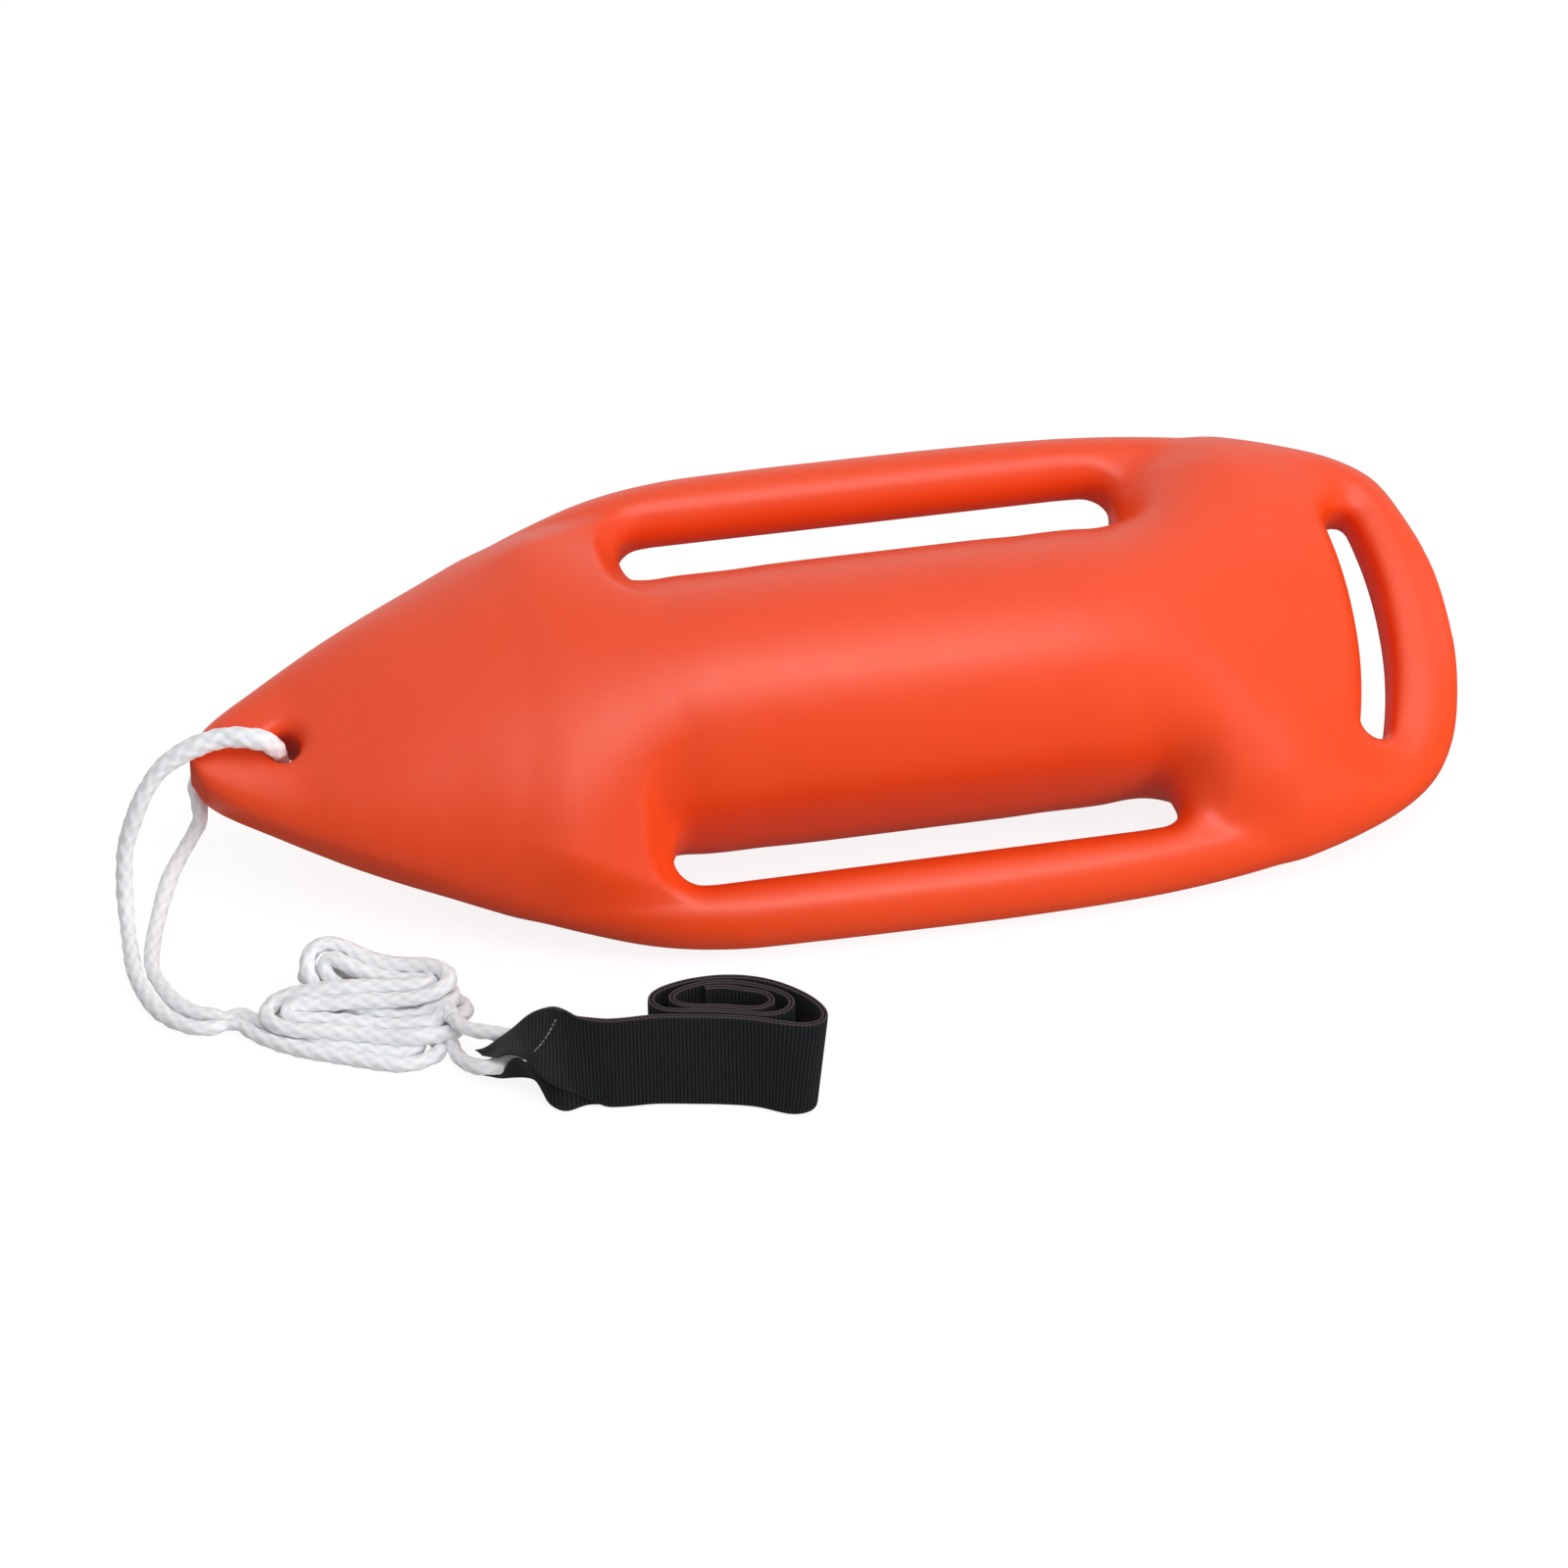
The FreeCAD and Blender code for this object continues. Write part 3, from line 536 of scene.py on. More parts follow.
# ================================================================ LINE
# One closed ring of plaited line: the nose loop, strand A through the hank, the bight in the
# belt's eye, and strand B back through the hank.
LINE_RADIUS = 4.25
BEAD_STEP = 4.0                             # spacing of the beads that settle
LINE_STEP = 1.3                             # spacing of the finished rings
PLAIT_PITCH = 11.0
PLAIT_DEPTH = 0.14
HANK_CENTRE = np.array([-290.0, -135.0])
ALONG, ACROSS = np.array([0.925, -0.38]), np.array([0.38, 0.925])       # the hank's directions

# the hank's folded pair: along, across, height above the ground
FOLDS = [
    (-54, -15, 5), (-42, -22, 5), (-18, -27, 4.5), (12, -28, 4.5), (38, -27, 5), (54, -19, 7),
    (46, -10, 8), (16, -11, 5), (-14, -11, 5), (-38, -10, 6), (-50, -2, 7), (-38, 6, 7),
    (-8, 6, 5), (22, 4, 5), (50, 2, 6), (60, 10, 8), (50, 20, 8), (20, 23, 5), (-10, 26, 6),
    (-28, 30, 11), (-38, 25, 20), (-28, 19, 20), (-6, 20, 16), (20, 19, 16), (46, 18, 19),
    (55, 9, 22), (40, 1, 19), (6, 0, 16), (-18, 6, 19), (-30, 19, 28), (-27, 28, 38),
    (-17, 28, 36), (0, 21, 28), (24, 20, 28), (46, 20, 31), (54, 12, 31), (38, 5, 28),
    (4, 0, 26), (-20, -6, 22), (-40, -10, 18), (-47, -18, 14), (-30, -22, 13), (0, -20, 13),
    (28, -20, 13), (50, -12, 14), (60, -3, 13)]
# where each strand leaves the nose loop for the hank: x, y, z
NECK_A = [(-358.5, -128.2, GROUND + 4.6), (-351, -130.4, GROUND + 4.8)]
NECK_B = [(-358.5, -123.4, GROUND + 5.4), (-351, -122.6, GROUND + 6.0)]
# x, y, height above the ground
BIGHT = [(x, y, GROUND + height) for x, y, height in [
    (-245.0, -150.0, 9.0), (-243.6, -158.0, 7.0), (-242.6, -168.0, 5.6), (-240.2, -180.5, 5.4),
    (-235.4, -190.5, 7.4), (-229.8, -196.6, 9.8), (-224.0, -198.6, 11.0),
    (-218.0, -197.6, 11.0), (-212.4, -195.2, 11.6), (-208.6, -192.6, 14.6),
    (-208.4, -190.2, 18.6), (-212.6, -188.6, 21.6), (-218.6, -186.6, 22.4),
    (-224.6, -183.2, 22.2), (-231.0, -178.6, 20.6), (-236.6, -172.0, 19.4),
    (-240.2, -163.0, 18.0), (-242.6, -152.0, 16.5)]]
# the nose loop from strand A to strand B: x, y, z
NOSE_LOOP = [
    NECK_A[0], (-366, -129.4, -75.4), (-377.5, -126.4, -75.4), (-391, -113.4, -75.4),
    (-399.6, -93.2, -75.4), (-403.4, -74, -75.4), (-404, -56, -75), (-404, -40, -71.5),
    (-403.6, -27, -63), (-402.5, -21.4, -50), (-400, -17.5, -33), (-393.5, -15.4, -15),
    (-385.8, -13.3, 0), (-376, -11, 11.5), (-364.5, -10, 19), (-353.3, -10, 24),
    (-342.3, -10.5, 26.8), (-333.5, -12.6, 27.9), (-326.0, -14.6, 27.4), (-319.2, -15.4, 25.4),
    (-314.0, -13.2, 19.6), (-311.8, -7.6, 12.0), (-310.6, 0, 0), (-309.6, 6.2, -10.5),
    (-311.8, 11.2, -18.6), (-316.4, 16.4, -26.6), (-325, 22.6, -33), (-337, 28.4, -35.2),
    (-347.6, 31, -31), (-354.6, 28.6, -25), (-357.4, 21.6, -25.6), (-356.8, 14, -31.4),
    (-357.0, 9, -39), (-361.2, 5.8, -46), (-368, 0, -53), (-377.6, -12.4, -61),
    (-385.6, -31.6, -69), (-391.2, -50.6, -74), (-393.8, -72.4, -75.4), (-390, -89, -75.4),
    (-382.2, -106.6, -75.4), (-372, -116.8, -75), (-364.6, -120.2, -74.4), NECK_B[0]]
# index in NOSE_LOOP, line radius there
NOSE_LOOP_RADII = [
    (0, 3.0), (1, 3.9), (4, 4.3), (9, 4.3), (12, 4.9), (15, 5.6), (20, 5.3), (24, 4.8),
    (27, 4.5), (34, 4.2), (38, 4.2), (41, 4.0), (42, 3.8), (43, 3.0)]
# index in NOSE_LOOP, how far it is lifted to clear the top of the nose
NOSE_LOOP_LIFTS = {12: 0.6, **dict.fromkeys(range(13, 20), 1.3), 20: 0.6}

# settling, per step
PULL_BACK = 0.05                            # share of the way back to the laid shape, at first
SINK = 0.07
GATHER = 0.004                              # share of the way to the hank's ridge
GATHER_UNTIL = 0.75                         # share of the steps
RIDGE = 10.0                                # the ridge's place across the hank
SPACING_GAIN = 0.45
BEND_LIMIT = 3.2                            # bow over four beads before the line resists fully
BEND_GAIN, BEND_GAIN_BELOW = 0.3, 0.02
CONTACT_GAIN = 0.36


def settle(start, fixed, radius, steps, strand):
    """Settle spaced beads: spacing, stiffness, contact, ground and a pull to the laid shape."""
    beads = start.copy()
    total = len(beads)
    rest = np.linalg.norm(np.diff(start, axis=0), axis=1)
    linked = strand[1:] == strand[:-1]
    number = np.arange(total)
    neighbours = ((np.abs(number[:, None] - number[None, :]) <= 3)
                  & (strand[:, None] == strand[None, :]))
    first, second = np.triu_indices(total, 1)
    apart = ~neighbours[first, second]
    first, second = first[apart], second[apart]
    free = ~fixed
    for step in range(steps):
        done = step / steps
        beads[free] += (start[free] - beads[free]) * PULL_BACK * (1 - done)
        beads[free, 2] -= SINK
        if done < GATHER_UNTIL:             # beads high in the pile drift to its ridge
            from_centre = beads[:, :2] - HANK_CENTRE
            across = from_centre @ ACROSS
            high = np.clip((beads[:, 2] - GROUND - 6) / 12, 0, 1) * free
            beads[:, :2] -= np.outer((across - RIDGE) * GATHER * high, ACROSS)
        for _ in range(2):
            gap = beads[1:] - beads[:-1]
            size = np.linalg.norm(gap, axis=1)
            stretch = (size - rest) / np.maximum(size, 1e-6) * SPACING_GAIN
            fix = np.where(linked, stretch, 0)[:, None] * gap
            beads[:-1] += fix * free[:-1, None]
            beads[1:] -= fix * free[1:, None]
            # stiffness: keep each bead near the middle of its neighbours two away
            bends = (strand[:-4] == strand[4:]) & free[2:-2]
            bow = (beads[:-4] + beads[4:]) / 2 - beads[2:-2]
            size = np.linalg.norm(bow, axis=1)
            over = np.clip(size - BEND_LIMIT, 0, None) / np.maximum(size, 1e-6)
            beads[2:-2] += bow * (BEND_GAIN * over + BEND_GAIN_BELOW)[:, None] * bends[:, None]
            # contact: push touching beads apart
            gap = beads[first] - beads[second]
            square = (gap * gap).sum(1)
            hit = square < (2 * radius) ** 2
            size = np.sqrt(square[hit]) + 1e-6
            push = ((2 * radius - size) / size * CONTACT_GAIN)[:, None] * gap[hit]
            pushes, hits = np.zeros_like(beads), np.zeros(total)
            np.add.at(pushes, first[hit], push)
            np.add.at(pushes, second[hit], -push)
            np.add.at(hits, first[hit], 1)
            np.add.at(hits, second[hit], 1)
            beads += pushes / np.maximum(1, hits * 0.6)[:, None] * free[:, None]
            beads[:, 2] = np.where(free, np.maximum(beads[:, 2], GROUND + radius), beads[:, 2])
    for _ in range(3):                      # the line doesn't kink
        inner = (strand[:-2] == strand[2:]) & free[1:-1]
        beads[1:-1] += ((beads[:-2] + beads[2:]) / 2 - beads[1:-1]) * 0.5 * inner[:, None]
    return beads


def hank_place(along, across, height):
    place = HANK_CENTRE + ALONG * along + ACROSS * across
    return (place[0], place[1], GROUND + height)


def lay_strands():
    """The two strands of the hank, side by side along the folds, then settled."""
    pair = catmull(np.array([hank_place(*fold) for fold in FOLDS]), BEAD_STEP)
    tangent = np.gradient(pair, axis=0)
    tangent[:, 2] *= 0.3
    tangent /= np.linalg.norm(tangent, axis=1, keepdims=True)
    side = np.stack([-tangent[:, 1], tangent[:, 0], 0 * tangent[:, 0]], 1)
    # the pair twists to and fro as it goes
    number = np.arange(len(pair))
    twist = 0.5 * np.sin(number / 9.0 + 0.6) + 0.35 * np.sin(number / 4.1)
    offset = (side * np.cos(twist)[:, None]
              + np.array([0, 0, 1.0]) * np.sin(twist)[:, None]) * (LINE_RADIUS + 0.2)
    strand_a = catmull(np.vstack([NECK_A, (pair - offset)[2:], BIGHT[:2]]), BEAD_STEP)
    strand_b = catmull(np.vstack([NECK_B, (pair + offset)[2:], BIGHT[::-1][:2]]), BEAD_STEP)
    count_a = len(strand_a)
    beads = np.vstack([strand_a, strand_b])
    strand = np.concatenate([np.zeros(count_a, int), np.ones(len(strand_b), int)])
    fixed = np.zeros(len(beads), bool)
    for start, end in ((0, count_a), (count_a, len(beads))):
        fixed[start:start + 3] = True
        fixed[end - 3:end] = True
    rng = np.random.default_rng(7)
    beads = beads + np.where(fixed[:, None], 0, rng.normal(0, 0.5, beads.shape))
    beads = settle(beads, fixed, radius=LINE_RADIUS * 0.965,
                   steps=240, strand=strand)
    return beads[:count_a], beads[count_a:]


def closed_line():
    """The whole ring of line, evenly spaced: x, y, z, radius."""
    def with_radius(strand):
        radius = np.full(len(strand), LINE_RADIUS)
        radius[:6] = np.linspace(3.0, LINE_RADIUS, 6)       # thinner in the neck
        return np.column_stack([strand, radius])

    strand_a, strand_b = lay_strands()
    loop = np.array([(x, y, z + NOSE_LOOP_LIFTS.get(i, 0))
                     for i, (x, y, z) in enumerate(NOSE_LOOP)])
    loop_radius = np.interp(np.arange(len(loop)), *np.array(NOSE_LOOP_RADII).T)
    bight = np.array(BIGHT)[2:-2]
    parts = [with_radius(strand_b)[::-1][:-1],
             np.column_stack([loop, loop_radius])[::-1],
             with_radius(strand_a)[1:],
             np.column_stack([bight, np.full(len(bight), LINE_RADIUS - 0.25)])]
    return catmull(np.vstack(parts + [parts[0][:1]]), LINE_STEP)


def frames_along(points):
    """Two directions square to a polyline that turn as little as possible along it."""
    tangent = np.gradient(points, axis=0)
    tangent /= np.linalg.norm(tangent, axis=1, keepdims=True)
    side = np.zeros_like(points)
    seed = np.array([0.31, 0.17, 1.0])
    start = seed - tangent[0] * (seed @ tangent[0])
    side[0] = start / np.linalg.norm(start)
    for i in range(1, len(points)):
        # double reflection
        chord = points[i] - points[i - 1]
        square = chord @ chord
        carried = side[i - 1] - (2 / square) * (chord @ side[i - 1]) * chord
        turned = tangent[i - 1] - (2 / square) * (chord @ tangent[i - 1]) * chord
        bend = tangent[i] - turned
        square = bend @ bend
        new = carried - (2 / square) * (bend @ carried) * bend if square > 1e-12 else carried
        new -= tangent[i] * (new @ tangent[i])
        side[i] = new / np.linalg.norm(new)
    return side, np.cross(tangent, side)


def plaited(points, radius, around):
    """Soft plait, four strands each way, over and under. Returns rings and strand heights."""
    side, other = frames_along(points)
    run = run_length(points)
    angle = np.linspace(0, 2 * np.pi, around, endpoint=False)[None, :]
    turn = 2 * np.pi / (4 * PLAIT_PITCH)
    left, right = angle - turn * run[:, None], angle + turn * run[:, None]
    left_ridge = np.sqrt(np.clip(0.5 + 0.5 * np.cos(4 * left), 0, 1) + 0.03)
    right_ridge = np.sqrt(np.clip(0.5 + 0.5 * np.cos(4 * right), 0, 1) + 0.03)
    weave = np.cos(2 * left) * np.cos(2 * right)
    height = np.maximum(left_ridge + 0.55 * weave, right_ridge - 0.55 * weave)
    height = (height - 0.95) / 0.6
    wobble = 0.05 * np.sin(run / 17.0 + 1.3) + 0.04 * np.sin(run / 7.3)
    reach = radius[:, None] * (1 + PLAIT_DEPTH * 0.62 * height + wobble[:, None])
    spoke = (np.cos(angle)[..., None] * side[:, None, :]
             + np.sin(angle)[..., None] * other[:, None, :])
    return points[:, None, :] + reach[:, :, None] * spoke, height


LINE = closed_line()
LINE_RINGS, STRAND_HEIGHT = plaited(LINE[:, :3], LINE[:, 3], around=22)
LINE_NORMALS = grid_normals(LINE_RINGS, closed=True)


def nearest(place, low=0, high=None):
    """Index of the line's ring nearest to a place, within a range of rings."""
    return low + int(np.argmin(((LINE[low:high, :3] - np.asarray(place)) ** 2).sum(1)))


def line_part(name, spans):
    """Capped pieces of the line, each between two of its rings."""
    faces, base = [], 0
    cuts = [slice(start, end + 1) for start, end in spans]
    for cut in cuts:
        rows, around = STRAND_HEIGHT[cut].shape
        faces += capped_tube(rows, around, base)
        base += rows * around
    verts = np.vstack([LINE_RINGS[cut].reshape(-1, 3) for cut in cuts])
    piece = make_mesh(name, to_row(verts), faces, WHITE)
    heights = np.concatenate([STRAND_HEIGHT[cut].reshape(-1) for cut in cuts])
    float_attribute(piece, "strand", heights)
    for polygon in piece.data.polygons:
        if len(polygon.vertices) > 4:       # the caps
            polygon.use_smooth = False
    set_normals(piece, [LINE_NORMALS[cut] for cut in cuts])
    return piece


def build_line():
    # rings where the neck ends on each strand, towards the hank and towards the loop
    neck_b, neck_a = nearest(NECK_B[0]), nearest(NECK_A[0])
    hank_b = nearest([-347.0, -121.8, GROUND + 6.6], max(0, neck_b - 14), neck_b)
    loop_b = nearest([-374.5, -113.6, -75], neck_b, neck_b + 40)
    loop_a = nearest([-374.5, -127.4, -75.4], neck_a - 40, neck_a)
    hank_a = nearest([-347.0, -131.6, GROUND + 5], neck_a, neck_a + 14)
    bight_start = nearest(BIGHT[1])
    bight_end = nearest(BIGHT[-2], bight_start)

    nose_loop = line_part("line_nose_loop", [(loop_b, loop_a)])
    hand_over(nose_loop, "tow_loop", "tow_loop")
    neck = line_part("line_neck", [(hank_b, loop_b), (loop_a, hank_a)])
    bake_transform(neck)
    hank = line_part("line_hank_folds",
                     [(0, hank_b), (hank_a, bight_start), (bight_end, len(LINE) - 1)])
    hand_over(hank, "hank", "line_hank")
    bight = line_part("line_bight", [(bight_start, bight_end)])
    hand_over(bight, "hank", "rope_bight")


# ================================================================ BELT
# Doubled webbing on edge: two layers run from the eye into a roll. The front layer is on the
# -y side where the two leave the eye.

# middle line between the layers in the roll, from its outer end inwards: x, y
COIL = [
    (-174.5, -216.2), (-169.8, -217.8), (-164.9, -219.0), (-159.9, -219.6), (-154.9, -219.9),
    (-149.9, -220.0), (-144.9, -220.1), (-140.0, -220.6), (-135.0, -221.4), (-130.1, -222.4),
    (-125.2, -223.4), (-120.3, -224.5), (-115.4, -225.5), (-110.6, -226.6), (-105.7, -227.8),
    (-100.9, -229.1), (-96.1, -230.5), (-91.3, -232.2), (-86.7, -234.1), (-82.2, -236.2),
    (-77.7, -238.3), (-73.1, -240.3), (-68.4, -242.0), (-63.5, -243.0), (-58.5, -242.7),
    (-54.2, -240.2), (-52.6, -235.6), (-53.4, -230.7), (-55.4, -226.1), (-58.0, -221.8),
    (-61.0, -217.8), (-64.3, -214.1), (-67.9, -210.6), (-71.7, -207.4), (-75.8, -204.4),
    (-80.1, -201.9), (-84.6, -199.8), (-89.3, -198.0), (-94.1, -196.7), (-99.0, -195.7),
    (-104.0, -195.1), (-109.0, -194.9), (-114.0, -195.0), (-119.0, -195.4), (-123.9, -196.3),
    (-128.7, -197.5), (-133.4, -199.2), (-137.6, -201.9), (-140.3, -206.1), (-139.1, -210.8),
    (-135.2, -213.8), (-130.5, -215.5), (-125.6, -216.7), (-120.7, -217.8), (-115.8, -218.8),
    (-111.0, -219.9), (-106.1, -221.2), (-101.3, -222.6), (-96.6, -224.1), (-91.8, -225.8),
    (-87.1, -227.5), (-82.3, -228.8), (-77.3, -229.1), (-72.7, -227.4), (-70.2, -223.3),
    (-71.2, -218.5), (-74.4, -214.6), (-78.2, -211.3), (-82.3, -208.5), (-86.7, -206.1),
    (-91.3, -204.1), (-96.0, -202.6), (-100.9, -201.4), (-105.9, -200.7), (-110.9, -200.6),
    (-115.8, -201.2), (-120.7, -202.1), (-125.6, -203.4), (-129.4, -206.4), (-127.5, -210.5),
    (-122.8, -212.2), (-117.9, -213.3), (-113.0, -214.2), (-108.1, -215.3), (-103.3, -216.5),
    (-98.5, -218.0), (-93.8, -219.7), (-89.1, -221.4), (-84.2, -222.1), (-80.2, -219.6),
    (-81.7, -215.1), (-85.9, -212.4), (-90.5, -210.4), (-95.4, -207.9), (-100.4, -206.0),
    (-105.6, -205.0), (-110.4, -204.9)]
# the inner turns rest against the outer ones, which leaves the eye of the roll open:
# index in COIL, shift in x, shift in y
COIL_SHIFTS = [
    (47, 0, 0), (48, 0, 0), (49, 0, -0.8), (50, 0, -1.5), (51, 0, -1.8), (61, 0, -1.8),
    (62, 0.9, -1.5), (63, 1.8, -0.8), (64, 2.4, 0), (65, 2.0, 0.8), (66, 1.1, 1.3),
    (67, 0.5, 1.6), (68, 0, 1.7), (75, 0, 1.7), (76, 0, 1.4), (77, 0, 0.7), (78, 0, 0),
    (79, 0, -1.4), (80, 0, -2.5), (81, 0, -3.2), (86, 0.3, -3.2), (87, 0.9, -2.9),
    (88, 1.8, -2.0), (89, 2.6, -0.6), (90, 2.2, 1.0), (91, 1.2, 1.8), (92, 0.5, 1.9),
    (96, 0, 1.9)]
# each layer between the eye and the roll: (x, y, z) of the upper edge, then of the lower edge
FRONT = [
    ((-232.3, -190, -63.3), (-229.2, -193.2, -65.2)),
    ((-226.8, -190, -62.9), (-222.8, -202.6, -60.2)),
    ((-219.1, -192, -55.8), (-218.8, -206, -56.3)),
    ((-211.3, -194, -48), (-213.2, -210, -54)),
    ((-203.1, -197, -37.4), (-207.3, -214, -56.3)),
    ((-195.4, -200, -32.2), (-201.9, -222, -60.5)),
    ((-190.1, -203.5, -29.4), (-194.9, -226.2, -64.5)),
    ((-185.0, -208.6, -28.9), (-187.0, -227.4, -69.0)),
    ((-179.5, -213.6, -30.2), (-180.6, -228.0, -73.0))]
REAR = [
    ((-230.6, -189.4, -75.0), (-229.0, -194.0, -78.6)),
    ((-220.6, -200.8, -74.4), (-220.3, -197.0, -79.0)),
    ((-217.0, -204.6, -63.0), (-215.5, -197.5, -79.2)),
    ((-212.8, -208.4, -56.6), (-208.5, -198.4, -79.3)),
    ((-206.6, -212.4, -58.6), (-202.6, -201.5, -79.3)),
    ((-200.0, -212.0, -50.0), (-200.0, -212.5, -79.3)),
    ((-193.0, -206.0, -36.0), (-197.4, -224.4, -79.3)),
    ((-187.2, -207.0, -31.5), (-190.6, -230.6, -79.3)),
    ((-180.4, -211.4, -31.0), (-179.4, -227.6, -79.3))]
LEAN = np.array([-2.0, -13.0])              # from the upper edge to the lower edge, in plan
UPPER_Z, LOWER_Z = GROUND + 50.0, GROUND + 0.6
LAYER_OFFSET = 0.95                         # from the roll's middle line to each layer
HALF_THICKNESS = 0.6 - 0.1                  # of the plain webbing
SELVEDGE_RADIUS = 0.75
RIB_HEIGHT, RIB_PITCH = 0.27, 2.0
HEM_X, HEM_THICKNESS = -188.5, 1.1          # the webbing's end, sewn down on the front layer
HINGE_X = (-184.5, -167.0)                  # between the eye loop and the roll
# stations across the webbing, from the upper edge (0) to the lower edge (1)
WEB_STATIONS = np.array([0.0, 0.004, 0.012, 0.026, 0.05, 0.2, 0.35, 0.5, 0.65, 0.8, 0.95,
                         0.974, 0.988, 0.996, 1.0])


def strip_edges(stations, side):
    """Upper and lower edges of a layer from the eye inwards, and the run along its middle."""
    index, shift_x, shift_y = np.array(COIL_SHIFTS).T
    coil = [(x + float(np.interp(i, index, shift_x)), y + float(np.interp(i, index, shift_y)), 0)
            for i, (x, y) in enumerate(COIL)]
    line = catmull(coil, 2.0)[:, :2]
    tangent = np.gradient(line, axis=0)
    tangent /= np.linalg.norm(tangent, axis=1, keepdims=True)
    normal = np.stack([-tangent[:, 1], tangent[:, 0]], 1)
    top = line + normal * side * LAYER_OFFSET
    # the lean grows over the first turns
    grown = 1 - np.exp(-np.arange(len(line)) / 14.0)
    foot = top + LEAN * (0.86 + 0.14 * grown)[:, None]
    # the roll's outer bend is drawn in at the foot
    foot[:, 0] -= 6.5 * ramp(top[:, 0], -92, -60) * (1 - ramp(top[:, 1], -232, -222))
    upper = np.column_stack([top, np.full(len(top), UPPER_Z)])
    lower = np.column_stack([foot, np.full(len(top), LOWER_Z)])
    # the roll's first few points give way to the stations
    both = np.column_stack([np.vstack([[station[0] for station in stations], upper[4:]]),
                            np.vstack([[station[1] for station in stations], lower[4:]])])
    both = catmull(both, 0.5)
    distance = run_length((both[:, :3] + both[:, 3:]) / 2)
    run = np.arange(0, distance[-1], 0.5)
    rows = resample(both, distance, run)
    # light smoothing takes the kinks of the joins out
    reach = 9
    padded = np.vstack([np.repeat(rows[:1], reach, 0), rows, np.repeat(rows[-1:], reach, 0)])
    kernel = np.hanning(2 * reach + 3)[1:-1]
    kernel /= kernel.sum()
    smooth = np.stack([np.convolve(padded[:, k], kernel, "valid") for k in range(6)], 1)
    smooth[0], smooth[-1] = rows[0], rows[-1]
    return smooth[:, :3], smooth[:, 3:], run


def webbing(upper, lower, run, half_thickness=0.6, hem=None, bow=None):
    """A woven layer between two edge lines: cross ribs and rolled selvedges."""
    v = WEB_STATIONS
    width = np.linalg.norm(upper - lower, axis=1)
    middle = upper[:, None, :] * (1 - v)[None, :, None] + lower[:, None, :] * v[None, :, None]
    normal = np.cross(np.gradient(middle, axis=0), (lower - upper)[:, None, :])
    normal /= np.maximum(np.linalg.norm(normal, axis=2, keepdims=True), 1e-9)
    if bow is not None:
        middle = middle + normal * (bow[:, None] * (4 * v * (1 - v))[None, :])[..., None]
    from_edge = np.minimum(v, 1 - v)[None, :] * width[:, None]
    inset = np.clip((SELVEDGE_RADIUS - from_edge) / SELVEDGE_RADIUS, 0, 1)
    edge = np.sqrt(np.clip(1 - inset ** 2, 0, 1))
    rib = np.cos(2 * np.pi * run / RIB_PITCH)[:, None]
    ribs = RIB_HEIGHT * rib * np.clip((from_edge - 0.9) / 1.2, 0, 1)
    bead = 0.10 * np.exp(-((from_edge - 1.1) / 0.6) ** 2)       # slight ridge by the selvedge
    thickness = half_thickness * edge + ribs + bead
    under = thickness
    if hem is not None:                     # on the face away from the normal
        under = thickness + hem[:, None] * np.clip(from_edge / 1.2, 0, 1)
    face = middle + normal * thickness[..., None]
    back = middle - normal * under[..., None]
    rings = np.concatenate([face, back[:, 1:-1][:, ::-1]], 1)
    ring_edge = np.concatenate([from_edge, from_edge[:, 1:-1][:, ::-1]], 1)
    return SimpleNamespace(rings=rings, normals=grid_normals(rings), from_edge=ring_edge,
                           rib=np.repeat(rib, rings.shape[1], 1),
                           middle=(upper + lower) / 2)


def row_at(middle, x, among=400):
    """The row of a layer nearest to x, among its first rows."""
    return int(np.argmin(np.abs(middle[:among, 0] - x)))


def strip_caps(rows, around, base):
    """Both cut ends of a layer, as faces across its thickness."""
    caps = []
    for row, flip in ((0, False), (rows - 1, True)):
        start = base + row * around
        for i in range(around // 2):
            corners = [i, i + 1, (around - i - 1) % around, (around - i) % around]
            corners = [start + corner for corner in dict.fromkeys(corners)]
            caps.append(corners[::-1] if flip else corners)
    return caps


def web_mesh(name, parts):
    """parts: pairs of a layer and the slice of its rows to build."""
    faces, caps, base = [], [], 0
    for layer, cut in parts:
        rows, around = layer.from_edge[cut].shape
        faces += tube_quads(rows, around, base)[:, [0, 3, 2, 1]].tolist()
        ends = strip_caps(rows, around, base)
        caps += range(len(faces), len(faces) + len(ends))
        faces += ends
        base += rows * around
    verts = np.vstack([layer.rings[cut].reshape(-1, 3) for layer, cut in parts])
    from_edge = np.concatenate([layer.from_edge[cut].ravel() for layer, cut in parts])
    piece = make_mesh(name, to_row(verts), faces, BLACK)
    float_attribute(piece, "edge", np.clip(from_edge / 3.0, 0, 1))
    ribs = np.concatenate([layer.rib[cut].ravel() for layer, cut in parts])
    float_attribute(piece, "rib", ribs)
    for cap in caps:
        piece.data.polygons[cap].use_smooth = False
    set_normals(piece, [layer.normals[cut] for layer, cut in parts])
    return piece


